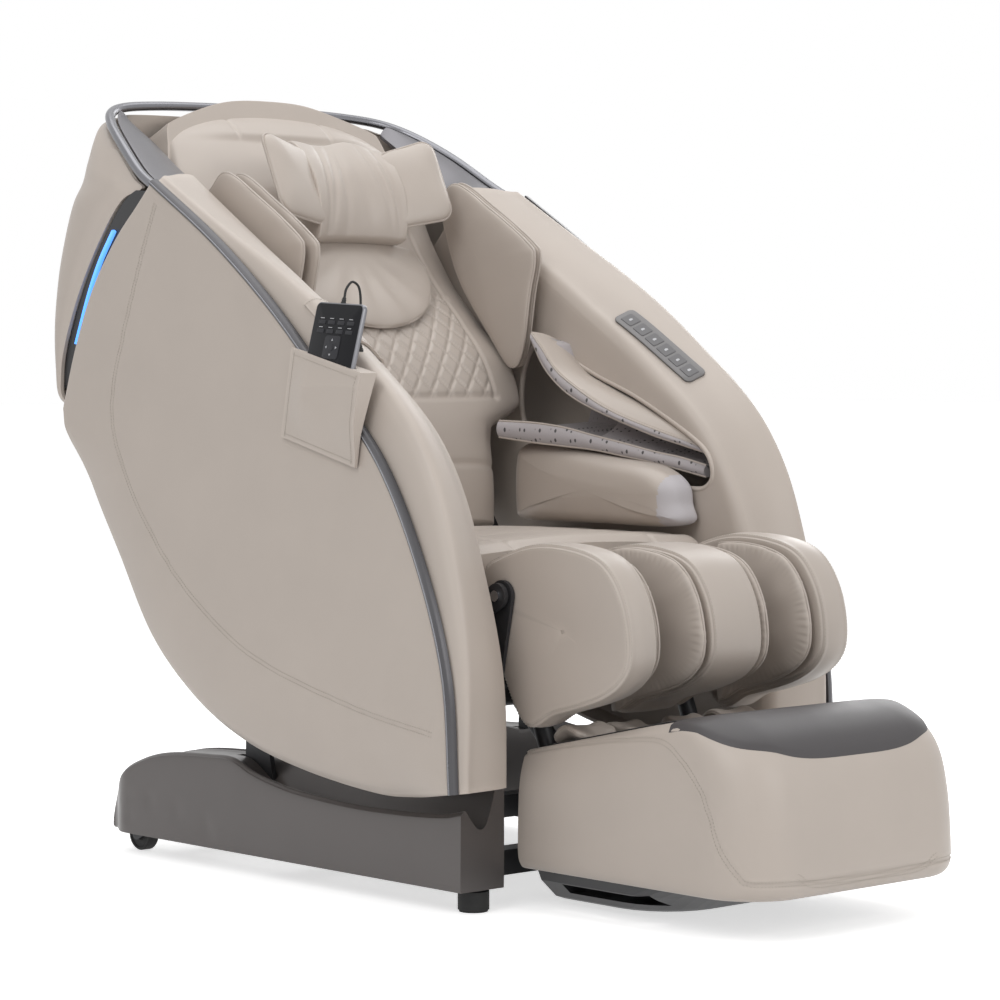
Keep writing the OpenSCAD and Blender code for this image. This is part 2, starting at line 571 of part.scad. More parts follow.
module top_caps() color("#6f6e72") both() {
    m = 8;
    slab([for (i = [0:m]) let(p = on(rail_line, 0.02 + 0.5 * i / m)) [for (j = [0:3])
            let(u = j / 3) [-mix(p.x + rail_r + 6.8, -262, u), p.y + 46 * u * (1 - i / m),
                p.z + 2 - 14 * u + 26 * u * (1 - i / m)]]],
        [for (i = [0:m]) let(p = on(rail_line, 0.02 + 0.5 * i / m)) [for (j = [0:3])
            let(u = j / 3) [-mix(p.x + rail_r + 6.8, -262, u), p.y + 46 * u * (1 - i / m),
                p.z - 4.5 - 14 * u + 26 * u * (1 - i / m)]]]);
}

function led_row(t, x) = let(a = on(split_line, mix(0.08, 0.93, t)),
    b = on(crescent_line, mix(0.08, 0.93, t)), d = unit(b - a)) [for (j = [0:2])
    let(p = mix(a + d * gap, b - d * 1, j / 2)) [x, p.x, p.y]];
module led_housings() color("#2a2a2e") both() {
    m = 12;
    slab([for (i = [0:m]) led_row(i / m, shell_x - 14)],
        [for (i = [0:m]) led_row(i / m, shell_x - 22)]);
}

module led_lenses() color("#8fb6ff") both() {
    p = [for (i = [0:8]) let(q = on([[500, 976], [536, 930], [566, 878], [600, 803]], i / 8))
        [shell_x - 11, q.x, q.y]];
    loft(bar_rings(p, oval(3, 5, 6), [1, 0, 0]));
}

// Back cushion in the back's own frame: depth at height z, deeper at the waist
depth_line = [[40, 8], [70, 80], [95, 170], [97, 260], [78, 340], [44, 430], [26, 520], [20, 600],
    [4, 680], [-22, 745], [-44, 782]];
function half_w(z) = mix(waist_x, back_x, smooth((z - 150) / 40)) - 26 * smooth((z - 640) / 140);
function back_depth(p, u) = p.x + 22 * pow(u, 4) * bump((p.y - 130) / 200) - 26 * pow(u, 6);
module back_cushion() color("#b9ada0") in_back() {
    m = 24;
    n = 14;
    slab([for (i = [0:m]) let(p = on(depth_line, i / m)) [for (j = [0:n])
            [mix(-1, 1, j / n) * half_w(p.y), -back_depth(p, abs(2 * j / n - 1)), p.y]]],
        [for (i = [0:m]) let(p = on(depth_line, i / m)) [for (j = [0:n])
            [mix(-1, 1, j / n) * (half_w(p.y) - 3), min(22, 40 - p.x * 0.6), p.y]]]);
}

function pillow_depth(u, v) = -86 - 34 * pow(bump(v), 0.5) * (0.55 + 0.45 * pow(abs(u), 1.5))
    + 14 * u * u;
module head_pillow() color("#b9ada0") in_back() {
    m = 12;
    n = 14;
    slab([for (i = [0:m]) [for (j = [0:n]) let(u = 2 * j / n - 1)
            [210 * u, pillow_depth(u, i / m), mix(490, 668, i / m) - 14 * u * u]]],
        [for (i = [0:m]) [for (j = [0:n]) let(u = 2 * j / n - 1)
            [206 * u, -52, mix(494, 664, i / m) - 14 * u * u]]]);
}

module neck_flap() color("#b9ada0") in_back() {
    edge = [for (a = [0:12:180]) [150 * cos(a), 440 - 120 * sin(a)]];
    ring = [each edge, [-130, 470], [-60, 484], [60, 484], [130, 470]];
    loft([for (k = [[0.1, -60], [0, -66], [0, -72], [0.08, -80], [0.4, -84]])
        [for (p = ring) let(q = mix(p, [0, 420], k[0]), w = smooth((440 - q.y) / 130))
            [q.x, k[1] - 26 * w, q.y]]]);
}

module shoulder_pads() color("#b9ada0") in_back() both() {
    for (k = [[212, 20, 0], [233, 20, 1]]) {
        edge = path([[-70, 560], [-120, 566], [-176, 494], [-234, 404], [-238, 374], [-202, 326],
            [-148, 250], [-114, 242], [-92, 306], [-62, 430], [-70, 560]], 18);
        ring = [for (i = [0:17]) edge[i] + k[2] * [8, 6]];
        c = [-130, 420];
        loft([ring_x(drawn(ring, 0.3, c), k[0]), ring_x(drawn(ring, 0.05, c), k[0] + 4),
            ring_x(ring, k[0] + k[1] / 2), ring_x(drawn(ring, 0.05, c), k[0] + k[1] - 4),
            ring_x(drawn(ring, 0.3, c), k[0] + k[1])]);
    }
}

/* Massage mechanism, in the back's own frame; its rest height is carriage_z */
carriage_z = 330;
module massage_carriage() color("#5a5c60") in_back() translate([0, 0, carriage_z]) {
    box([-98, 96, -45], [98, 104, 45]);
    both() {
        box([88, 56, -40], [96, 98, 40]);
        for (z = [-28, 28]) at_side([70, z], 92, 108, 8);
        translate([40, 126, 0]) rotate([0, 90, 0]) cylinder(44, 24, 24);
        box([36, 102, -14], [88, 112, 14]);
    }
    at_side([78, 0], -96, 96, 7);
}
module roller_arm(side) color("#2e2f33") in_back() translate([0, 0, carriage_z]) on_side(side)
    difference() {
        union() {
            at_side([78, 0], 50, 68, 14);
            for (s = [-1, 1]) {
                link([78, 0], 12, [64, 66 * s], 9, 55, 63);
                translate([59, 64, 66 * s]) rotate([0, 90, 0]) rotate_extrude()
                    polygon([[0, -13], [18, -13], [25, -7], [27, 0], [25, 7], [18, 13], [0, 13]]);
            }
        }
        at_side([78, 0], 40, 80, 7 + run);
    }

/* Legs */
slide_dir = [-sin(slide_lean), -cos(slide_lean)];
slide_foot = [-268, 112];
module leg_frame() color("#44464a") {
    difference() {
        union() {
            both() link(knee, 22, [-192, 300], 16, 226.5, 226.5 + 6);
            at_side([-192, 300], -230, 230, 15);
            both() guide(120, 190, 13);
        }
        both() at_side(knee, 220, 240, pin_r + run);
        both() guide(110, 320, rod_r + run);
    }
    clevis(leg_act[1], [-192, 300], leg_act[2]);
}
// Round bar along the foot's slide, from a to b above its lower end
module guide(a, b, r) translate([150, slide_foot.x, slide_foot.y]) rotate([-slide_lean, 0, 0])
    translate([0, 0, a]) cylinder(b - a, r, r);

calf_ring = path(calf_line, 30);
calf_c = [-330, 400];
module calf_wall_pad(x0, x1, ring, c) loft([ring_x(drawn(ring, 0.25, c), x0),
    ring_x(drawn(ring, 0.06, c), x0 + 2), ring_x(ring, x0 + 9), ring_x(ring, x1 - 9),
    ring_x(drawn(ring, 0.06, c), x1 - 2), ring_x(drawn(ring, 0.25, c), x1)]);
module calf_cushion() color("#b9ada0") {
    inner = drawn(calf_ring, 0.06, calf_c);
    both() calf_wall_pad(calf_x - calf_wall, calf_x, calf_ring, calf_c);
    calf_wall_pad(-calf_mid, calf_mid, inner, calf_c);
    // Backing board, open where the leg actuator's rod reaches in
    for (k = [[20 - calf_x, leg_act[2] - 24], [leg_act[2] + 22, calf_x - 20]]) along_x(k[0], k[1])
        polygon([[-234, 300], [-222, 400], [-206, 440], [-214, 470], [-246, 470], [-262, 300]]);
}
module calf_airbags() color("#b9ada0") both() {
    r = drawn(calf_ring, 0.1, calf_c);
    for (k = [[calf_mid + 0.5, airbag_t], [calf_x - calf_wall - airbag_t - 0.5, airbag_t]]) {
        ring = [for (p = r) [min(p.x, -270), p.y]];
        loft([ring_x(drawn(ring, 0.1, calf_c), k[0]), ring_x(ring, k[0] + k[1] / 2),
            ring_x(drawn(ring, 0.1, calf_c), k[0] + k[1])]);
    }
}

module foot_slide_rails() color("#9a9da1") both() guide(-34, 300, rod_r);

function foot_plan(f, w) = let(r = 90) [for (u = [0, 0.35, 0.7, 0.95]) [w, mix(-240, f + r, u)],
    for (a = [0:15:90]) [w - r + r * cos(a), f + r - r * sin(a)],
    for (a = [90:15:180]) [r - w + r * cos(a), f + r - r * sin(a)],
    for (u = [0.95, 0.7, 0.35, 0]) [-w, mix(-240, f + r, u)]];
// The foot box's top climbs from the heels to the toes
foot_top = 270;
function foot_rise(y, z) = mix(-44, 31, min(max((-240 - y) / 340, 0), 1)) * smooth((z - 80) / 180);
function foot_ring(f, w, z) = [for (p = foot_plan(foot_front + f, foot_x * w))
    [p.x, p.y, z + foot_rise(p.y, z)]];
module foot_shell() color("#c9bfb3") difference() {
    loft([for (k = [[58, 22, 0.94], [61, 9, 0.965], [70, 2, 0.99], [84, 0, 1], [110, 0, 1],
        [160, 5, 0.997], [205, 18, 0.99], [235, 42, 0.975], [256, 78, 0.95], [266, 112, 0.92],
        [foot_top, 150, 0.89]]) foot_ring(k[1], k[2], k[0])]);
    loft([for (k = [[50, 24, 0.9], [110, 24, 0.92], [160, 34, 0.92], [205, 50, 0.9], [236, 84, 0.88]])
        [for (p = foot_ring(k[1], k[2], k[0])) [p.x, min(p.y, -240 - foot_t), p.z]]]);
    both() box([26, foot_front + 180, 150], [196, -268, 330]);
    box([-168, -300, 50], [168, -230, 210]);
}
// Top panel of the foot box: from behind the flaps down over the rounded front
function panel_row(i, j, h) = let(u = 2 * j / 12 - 1, f = 1 - 0.75 * u * u,
    y = foot_front + mix(172, 164 - 104 * f, i / 8)) [(foot_x - 25) * u, y,
    foot_top + h + foot_rise(y, foot_top) - 26 * pow((i / 8) * f, 2)];
module foot_panel() color("#4b4a4d") slab(
    [for (i = [0:8]) [for (j = [0:12]) panel_row(i, j, 8)]],
    [for (i = [0:8]) [for (j = [0:12]) panel_row(i, j, 4.5)]]);
module foot_base() color("#242427") difference() {
    union() {
        box([-166, -294, 70], [166, -260, 104]);
        loft([for (k = [[8, 246, 0.64], [14, 232, 0.72], [40, 176, 0.85], [57, 130, 0.885],
            [76, 112, 0.885]]) [for (p = foot_plan(foot_front + k[1], foot_x * k[2]))
            [p.x, min(p.y, -241 - foot_t), k[0]]]]);
    }
    both() box([30, foot_front + 234, 24], [186, -292, 90]);
    at_side([-420, 60], -192, 192, 6 + run);
}
module foot_pads() color("#b9ada0") both() {
    for (k = [[28, 92], [112, 186]]) slab([for (i = [0:5]) [for (j = [0:4]) let(y = mix(-330, -270, i / 5))
            [mix(k[0], k[1], j / 4), y, foot_top + foot_rise(y, foot_top) - 4
                + 22 * bump(0.1 + 0.8 * j / 4) * bump(0.1 + 0.8 * i / 5)]]],
        [for (i = [0:5]) [for (j = [0:4]) let(y = mix(-326, -274, i / 5))
            [mix(k[0], k[1], j / 4), y, foot_top + foot_rise(y, foot_top) - 10]]]);
}
module foot_rollers() color("#3a3a3e") {
    at_side([-420, 60], -191, 191, 6);
    both() for (x = [36:29:152]) translate([x, -420, 60]) rotate([0, 90, 0]) rotate_extrude()
        polygon([[5, 0], [17, 0], [21, 5], [23, 13], [21, 21], [17, 26], [5, 26]]);
}

/* Actuators: a tube hinged at a, and the rod that slides out of it towards b */
module in_actuator(k) translate([k[2], k[0].x, k[0].y])
    rotate([atan2(k[1].y - k[0].y, k[1].x - k[0].x) - 90, 0, 0]) children();
module actuator_tube(k, stroke) color("#2b2b2d") in_actuator(k) {
    length = norm(k[1] - k[0]) - 40 + min(stroke, 0);
    difference() {
        union() {
            rotate([0, 90, 0]) cylinder(22, 12, 12, center = true);
            translate([0, 0, 6]) cylinder(16, 9, 9);
            translate([0, 0, 22]) cylinder(length - 22, tube_r, tube_r);
            translate([0, -24, 24]) cylinder(90, 15, 15);
        }
        rotate([0, 90, 0]) cylinder(30, bolt_r + run, bolt_r + run, center = true);
        translate([0, 0, 40]) cylinder(length, rod_r + run, rod_r + run);
    }
}
module actuator_rod(k, stroke) color("#9a9da1") in_actuator(k) {
    length = norm(k[1] - k[0]);
    reach = 60 + abs(stroke);
    difference() {
        union() {
            translate([0, 0, length]) rotate([0, 90, 0]) cylinder(20, 20, 20, center = true);
            translate([0, 0, length - reach]) cylinder(reach - 14, rod_r, rod_r);
        }
        translate([0, 0, length]) rotate([0, 90, 0])
            cylinder(30, bolt_r + eye_play, bolt_r + eye_play, center = true);
    }
}

base_cover(-1);  // base_cover_right
base_cover(1);  // base_cover_left
base_frame();
front_feet();
rear_wheel(-1);  // rear_wheel_right
rear_wheel(1);  // rear_wheel_left
power_box();
power_switch();
seat_frame();
seat_pan();
hinge_pins();
seat_cushion();
hip_cushions();
side_shell(-1);  // side_shell_right
side_shell(1);  // side_shell_left
arm_band(-1);  // arm_band_right
arm_band(1);  // arm_band_left
chrome_strips();
forearm_pads();
control_panel();
panel_key(1);  // panel_key_1
panel_key(2);  // panel_key_2
panel_key(3);  // panel_key_3
panel_key(4);  // panel_key_4
panel_key(5);  // panel_key_5
panel_key(6);  // panel_key_6
remote_pocket();
remote_body();
remote_keypad();
nav_pad();
remote_cord();
cord_gland();
back_frame();
back_shell();
top_rail();
top_caps();
led_housings();
led_lenses();
back_cushion();
head_pillow();
neck_flap();
shoulder_pads();
massage_carriage();
roller_arm(-1);  // roller_arm_right
roller_arm(1);  // roller_arm_left
leg_frame();
calf_cushion();
calf_airbags();
foot_slide_rails();
foot_shell();
foot_panel();
foot_base();
foot_pads();
foot_rollers();
actuator_tube(tilt_act, tilt_stroke);  // tilt_actuator_tube
actuator_rod(tilt_act, tilt_stroke);  // tilt_actuator_rod
actuator_tube(recline_act, recline_stroke);  // recline_actuator_tube
actuator_rod(recline_act, recline_stroke);  // recline_actuator_rod
actuator_tube(leg_act, leg_stroke);  // leg_actuator_tube
actuator_rod(leg_act, leg_stroke);  // leg_actuator_rod
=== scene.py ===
# %% [markdown]
# # A massage chair in a plain studio
# The chair was drawn and packed as solid parts first. Here nearly every part that the eye meets gets a
# finer skin: padded leather with seams and stitches, punched fabric, metal, paint, plastic or rubber.
# Each skin rides on the body of the part that it covers, so that the chair still moves.
# Sizes are in millimetres in the chair's frame: x to the sitter's left, -y where the sitter looks, z up.

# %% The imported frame
import json
import math
import bmesh
import bpy
import numpy as np
from mathutils import Matrix, Vector
from mathutils.kdtree import KDTree


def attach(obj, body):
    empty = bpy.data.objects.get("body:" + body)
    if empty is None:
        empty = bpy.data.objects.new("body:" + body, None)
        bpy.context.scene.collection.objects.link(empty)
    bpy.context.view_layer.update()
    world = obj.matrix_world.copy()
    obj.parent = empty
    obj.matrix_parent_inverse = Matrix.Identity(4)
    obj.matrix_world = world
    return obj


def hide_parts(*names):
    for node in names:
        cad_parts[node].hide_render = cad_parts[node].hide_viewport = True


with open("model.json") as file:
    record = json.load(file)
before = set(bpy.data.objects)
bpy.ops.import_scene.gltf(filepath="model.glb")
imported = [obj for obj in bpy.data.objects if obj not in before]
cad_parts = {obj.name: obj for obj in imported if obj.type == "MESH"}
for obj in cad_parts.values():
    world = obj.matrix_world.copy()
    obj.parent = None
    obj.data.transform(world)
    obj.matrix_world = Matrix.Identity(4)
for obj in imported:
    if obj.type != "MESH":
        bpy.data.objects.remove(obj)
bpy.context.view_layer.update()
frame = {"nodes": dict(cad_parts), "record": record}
scene = bpy.context.scene
print("solid parts:", len(frame["nodes"]))

# %% [markdown]
# ## The eye
# The camera stands low and far off at the chair's front right corner, with a long lens, as for a
# catalogue picture. A long lens keeps upright lines upright and shows both the side and the front.
# It could track a target, but plain numbers for its place and angles never drift.

# %% The camera
SENSOR_WIDTH, LENS, NEAREST = 36, 117.67, 0.05
EYE_PLACE = (-3.3465, -3.6212, 0.7831)
EYE_TILT, EYE_TURN = math.radians(87.4863), math.radians(-42.4155)
eye = bpy.data.cameras.new("eye")
eye.sensor_width = SENSOR_WIDTH
eye.lens = LENS
eye.clip_start = NEAREST
eye_object = bpy.data.objects.new("eye", eye)
eye_object.location = EYE_PLACE
eye_object.rotation_euler = (EYE_TILT, 0, EYE_TURN)
scene.collection.objects.link(eye_object)
scene.camera = eye_object
print("camera is", round(math.dist(EYE_PLACE, (0, 0, 0)), 2), "m from the chair")

# %% [markdown]
# ## Curves
# Nothing on this chair is straight, so every form starts from a few places that a smooth curve runs
# through. Bezier objects could hold them, but plain arithmetic on arrays is easier to read, and the
# same curve can then guide a shell, its seam and the metal strip beside it.


# %% Blends and directions
def smooth(t):
    """0 to 1 with a soft start and a soft end."""
    u = np.clip(t, 0, 1)
    return u * u * (3 - 2 * u)


def bump(t):
    """0 at both ends and 1 in the middle."""
    return np.sin(math.pi * np.clip(t, 0, 1))


def mix(a, b, t):
    """Share t of the way from a to b."""
    return a + (b - a) * t


def unit(v):
    """The same direction, one long."""
    v = np.asarray(v, float)
    return v / np.maximum(np.linalg.norm(v, axis=-1, keepdims=True), 1e-9)


print("a soft blend a quarter of the way:", round(float(smooth(0.25)), 3))

# %% Points along a curve
def on(knots, t):
    """Points at t (0 to 1) on the smooth curve through the knots."""
    k = np.asarray(knots, float)
    t = np.atleast_1d(np.asarray(t, float))
    n = len(k) - 1
    u = np.clip(t, 0, 1) * n
    i = np.minimum(np.floor(u).astype(int), n - 1)
    f = (u - i)[:, None]
    a = np.where(i[:, None] == 0, 2 * k[0] - k[1], k[np.maximum(i - 1, 0)])
    d = np.where(i[:, None] == n - 1, 2 * k[n] - k[n - 1], k[np.minimum(i + 2, n)])
    b, c = k[i], k[i + 1]
    return 0.5 * (2 * b + (c - a) * f + (2 * a - 5 * b + 4 * c - d) * f ** 2
                  + (3 * b - a - 3 * c + d) * f ** 3)


def even(points, step):
    """The same line with its points evenly spaced."""
    p = np.asarray(points, float)
    d = np.r_[0, np.cumsum(np.linalg.norm(np.diff(p, axis=0), axis=1))]
    s = np.linspace(0, d[-1], max(int(d[-1] / step), 2) + 1)
    return np.stack([np.interp(s, d, p[:, j]) for j in range(p.shape[1])], 1)


def length(line):
    """Length of a line of points."""
    return float(np.linalg.norm(np.diff(line, axis=0), axis=1).sum())


def heading(knots, t):
    """Direction of the curve at t."""
    t = np.atleast_1d(t)
    return unit(on(knots, t + 0.01) - on(knots, t - 0.01))


def outward(knots, t):
    """Direction square to a side-view curve at t."""
    d = heading(knots, t)
    return np.stack([d[:, 1], -d[:, 0]], 1)


arc = on([[1, 0], [0.707, 0.707], [0, 1]], np.linspace(0, 1, 50))
print("quarter circle through three places:", round(length(arc), 3), "long")

# %% Outlines and their places on the chair
BACK_LEAN = math.radians(24.8)
HINGE_Y, HINGE_Z = 262, 500


def inset(ring, d):
    """Closed outline moved inwards by d."""
    r = np.asarray(ring, float)
    a = unit(r - np.roll(r, 1, 0))
    b = unit(np.roll(r, -1, 0) - r)
    area = np.sum(r[:, 0] * np.roll(r[:, 1], -1) - np.roll(r[:, 0], -1) * r[:, 1])
    s = 1 if area > 0 else -1
    p = s * np.stack([-a[:, 1], a[:, 0]], 1)
    q = s * np.stack([-b[:, 1], b[:, 0]], 1)
    return r + (p + q) * d / np.maximum(1 + np.sum(p * q, 1, keepdims=True), 0.5)


def with_x(ring, x):
    """Side-view outline set at x."""
    r = np.asarray(ring, float)
    return np.column_stack([np.broadcast_to(x, len(r)), r])


def to_world(p):
    """From the back's own frame (x, y, z up the back) to the chair's."""
    p = np.asarray(p, float)
    c, s = math.cos(BACK_LEAN), math.sin(BACK_LEAN)
    return np.stack([p[..., 0], HINGE_Y + p[..., 1] * c + p[..., 2] * s,
                     HINGE_Z - p[..., 1] * s + p[..., 2] * c], -1)


def flip(p):
    """The same points on the chair's other side."""
    q = np.array(p, float)
    q[..., 0] *= -1
    return q


def same(p):
    """The points as they are, for the side that they were drawn for."""
    return p


print("a place 600 mm up the back:", to_world([0, 0, 600]).round().tolist())

# %% [markdown]
# ## Skins
# A moulded shell or a stuffed pad is one smooth face of many small squares. Modelling by hand or a
# subdivided cage would do, but rows of points that follow the curves give an even mesh at once, with
# enough points for seams and folds. Each skin is closed, as a real panel has a thickness.


# %% From points to a piece
def tidy(obj, sharp=40):
    """Joins doubled points, turns all faces outwards and shades the mesh smooth."""
    bm = bmesh.new()
    bm.from_mesh(obj.data)
    bmesh.ops.remove_doubles(bm, verts=bm.verts, dist=1e-6)
    bmesh.ops.recalc_face_normals(bm, faces=bm.faces)
    bm.to_mesh(obj.data)
    bm.free()
    for f in obj.data.polygons:
        f.use_smooth = True
    obj.data.set_sharp_from_angle(angle=math.radians(sharp))


def bare(name, verts, faces):
    """Object from points in millimetres."""
    mesh = bpy.data.meshes.new(name)
    v = np.asarray(verts, float).reshape(-1, 3) / 1000
    mesh.from_pydata(v.tolist(), [], [list(map(int, f)) for f in faces])
    mesh.validate()
    obj = bpy.data.objects.new(name, mesh)
    scene.collection.objects.link(obj)
    return obj


def put(name, verts, faces, body, slot, *nodes, mats=None, sharp=40):
    """A piece of the chair: on its body, with the finish of its slot unless mats are given, in place of
    the solid parts that it covers.
    """
    obj = bare(name, verts, faces)
    tidy(obj, sharp)
    for m in (mats or [slot]):
        obj.data.materials.append(material(m))
    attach(obj, body)
    if nodes:
        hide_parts(*nodes)
    print(f"{name}: {len(obj.data.polygons)} faces on {body}")
    return obj


def grown(obj):
    """Plain mesh of the object as its modifiers leave it."""
    bpy.context.view_layer.update()
    return bpy.data.meshes.new_from_object(obj.evaluated_get(bpy.context.evaluated_depsgraph_get()))


def carve(obj, verts, faces):
    """Cuts a closed form out of a piece."""
    tool = bare("cutter", verts, faces)
    tidy(tool)
    cut = obj.modifiers.new("cut", "BOOLEAN")
    cut.object = tool
    cut.operation = "DIFFERENCE"
    cut.solver = "EXACT"
    done = grown(obj)
    obj.modifiers.clear()
    old = obj.data
    obj.data = done
    bpy.data.meshes.remove(old)
    bpy.data.objects.remove(tool)
    tidy(obj)


# %% Grids and rings of points
def grid_faces(m, n, start=0, closed=False):
    """Squares between m rows of n points."""
    out = []
    for i in range(m - 1):
        for j in range(n if closed else n - 1):
            a, b = start + i * n + j, start + i * n + (j + 1) % n
            out.append((a, b, b + n, a + n))
    return out


def slab(p, q):
    """Closed solid between two grids."""
    p, q = np.asarray(p, float), np.asarray(q, float)
    m, n = p.shape[:2]
    k = m * n
    edge = list(range(n - 1)) + [i * n + n - 1 for i in range(m - 1)]
    edge += [(m - 1) * n + j for j in range(n - 1, 0, -1)] + [i * n for i in range(m - 1, 0, -1)]
    faces = grid_faces(m, n) + [f[::-1] for f in grid_faces(m, n, k)]
    faces += [(a, k + a, k + b, b) for a, b in zip(edge, edge[1:] + edge[:1])]
    return np.concatenate([p.reshape(-1, 3), q.reshape(-1, 3)]), faces


def loft(rings, cap=True):
    """Skin over rings of points, closed at both ends with a fan."""
    r = np.asarray(rings, float)
    m, n = r.shape[:2]
    faces = grid_faces(m, n, closed=True)
    pts = r.reshape(-1, 3)
    if cap:
        pts = np.concatenate([pts, [r[0].mean(0)], [r[-1].mean(0)]])
        faces += [(m * n, (j + 1) % n, j) for j in range(n)]
        faces += [(m * n + 1, (m - 1) * n + j, (m - 1) * n + (j + 1) % n) for j in range(n)]
    return pts, faces


def with_ends(rings):
    """Skin whose two ends are one flat face each, for sections that aren't convex."""
    pts, faces = loft(rings, cap=False)
    n, last = len(rings[0]), len(pts) - len(rings[0])
    return pts, faces + [tuple(range(n))[::-1], tuple(range(last, last + n))]


def level(ring, z):
    """Outline seen from above, set at the height z."""
    return np.column_stack([ring, np.full(len(ring), z)])


print("faces over three rings of eight points:", len(loft(np.zeros((3, 8, 3)))[1]))

# %% Tubes, pairs and rounded outlines
def circle(n):
    """Angles of n places round a circle."""
    return np.linspace(0, 2 * math.pi, n, endpoint=False)


def pipe(points, a, b=None, up=(1, 0, 0), n=10, closed=False):
    """Tube of an oval section along points."""
    p = np.asarray(points, float)
    if closed:
        d = unit(np.roll(p, -1, 0) - np.roll(p, 1, 0))
    else:
        d = unit(np.gradient(p, axis=0))
    s = unit(np.cross(d, np.asarray(up, float)))
    w = np.cross(s, d)
    t = circle(n)
    rings = p[:, None] + s[:, None] * (a * np.cos(t))[None, :, None] \
        + w[:, None] * ((b or a) * np.sin(t))[None, :, None]
    if closed:
        rings = np.concatenate([rings, rings[:1]])
        return rings.reshape(-1, 3), grid_faces(len(rings), n, closed=True)
    return loft(rings)


def join(*parts):
    """Several skins as one."""
    v, f, k = [], [], 0
    for pts, faces in parts:
        v.append(np.asarray(pts))
        f += [tuple(i + k for i in face) for face in faces]
        k += len(pts)
    return np.concatenate(v), f


def mirrored(part):
    """A skin on the chair's other side."""
    return flip(part[0]), [f[::-1] for f in part[1]]


def pair(part):
    """A skin and its mirror image."""
    return join(part, mirrored(part))


def rounded_rect(w, h, r, n=10):
    """Outline of half width w and half height h with corners of radius r."""
    out = []
    for cx, cy, a in ((w - r, h - r, 0), (r - w, h - r, 90), (r - w, r - h, 180), (w - r, r - h, 270)):
        for k in range(n + 1):
            b = math.radians(a + 90 * k / n)
            out.append((cx + r * math.cos(b), cy + r * math.sin(b)))
    return np.array(out)


def dense(ring, step=3.0):
    """Closed outline with its points evenly spaced."""
    r = np.asarray(ring, float)
    return even(np.concatenate([r, r[:1]]), step)[:-1]


print("a rounded outline 100 by 60:", len(dense(rounded_rect(50, 30, 5))), "points")

# %% Stuffed pads and their piping
def pillow(ring, t0, t1, place, inner=26, edge=1.5, power=2.3, centre=None):
    """Stuffed pad on an outline: thin at its seam, full in the middle. place maps (a, b, c)."""
    r = np.asarray(ring, float)
    c = r.mean(0) if centre is None else np.asarray(centre, float)
    s = np.linspace(0, 1, inner) ** 1.6
    rows = []
    for k in s[::-1]:
        h = (1 - (1 - k) ** power) ** 0.5
        rows.append(level(mix(r, c, k * 0.985), edge + t1 * h))
    for k in s:
        h = (1 - (1 - k) ** power) ** 0.5
        rows.append(level(mix(r, c, k * 0.985), -edge - t0 * h))
    pts, faces = loft(rows)
    return place(pts), faces


def piping(name, edge, radius, body, up=(1, 0, 0)):
    """Leather piping sewn in along the closed edge of a pad."""
    put(name, *pipe(edge, radius, up=up, n=8, closed=True), body, "cushion_leather", mats=["piping"])


small_pad = pillow(dense(rounded_rect(50, 30, 5)), 8, 8, same)
print("a small pad is", round(float(np.ptp(small_pad[0][:, 2])), 1), "mm thick")

# %% [markdown]
# ## Seams, folds and stitches
# A seam pulls leather down and the padding stands up beside it. Cushions aren't even either: stuffing
# rolls a little and leather settles in slow waves. Sculpting would give this, but it can't be repeated,
# so the points are moved along their normals by plain rules with fixed seeds.


# %% Points of a finished mesh
def coords(obj):
    """Places and normals of the points, in metres."""
    v = np.empty(len(obj.data.vertices) * 3)
    obj.data.vertices.foreach_get("co", v)
    n = np.empty(len(obj.data.vertices) * 3)
    obj.data.vertices.foreach_get("normal", n)
    return v.reshape(-1, 3), n.reshape(-1, 3)


def swell(obj, v, n, out):
    """Moves the points v outwards along the normals n by out, in millimetres."""
    obj.data.vertices.foreach_set("co", np.asarray(v + n * (out / 1000)[:, None]).ravel())
    obj.data.update()


def distance_to(points, v):
    """How far each of v is from the nearest of the points."""
    tree = KDTree(len(points))
    for i, p in enumerate(points):
        tree.insert(p, i)
    tree.balance()
    return np.array([tree.find(p)[2] for p in v])


# %% Seams, waves and evening out
def seam(obj, lines, depth=1.6, width=3.0, puff=0.7):
    """Presses lines (metres) into the mesh, with the padding standing up beside them."""
    v, n = coords(obj)
    pts = np.concatenate([even(l, 0.002) for l in lines])
    d = distance_to(pts, v) * 1000
    groove = np.exp(-(d / width) ** 2)
    banks = np.exp(-((d - 2.6 * width) / (1.6 * width)) ** 2)
    swell(obj, v, n, -depth * groove + puff * banks)


def wave(v, seed, size):
    """Smooth noise from a few fixed sine waves."""
    rng = np.random.default_rng(seed)
    out = np.zeros(len(v))
    for _ in range(7):
        d = unit(rng.normal(size=3)) * rng.uniform(0.6, 1.7) / size
        out += np.sin(2 * math.pi * (v @ d) + rng.uniform(0, 6.3))
    return out / 7


def rumple(obj, height, size, seed):
    """Slow waves of settled leather: their height in millimetres and their size in metres."""
    v, n = coords(obj)
    swell(obj, v, n, wave(v, seed, size) * height)


def relax(obj, times):
    """Evens the mesh out, as stuffing does, so that no crease stays where none is sewn."""
    bm = bmesh.new()
    bm.from_mesh(obj.data)
    for _ in range(times):
        bmesh.ops.smooth_vert(bm, verts=bm.verts, factor=0.5, use_axis_x=True, use_axis_y=True,
                              use_axis_z=True)
    bm.to_mesh(obj.data)
    bm.free()


print("a wave at the origin:", round(float(wave(np.zeros((1, 3)), 1, 0.1)[0]), 3))

# %% [markdown]
# A long seam on a bulging shell is hard to place by its three coordinates. It is easier to say where
# the camera meets it: a ray through each place in the picture frame finds the leather behind it.

# %% A line drawn through the camera onto a piece
FRAME_PIXELS = 1000


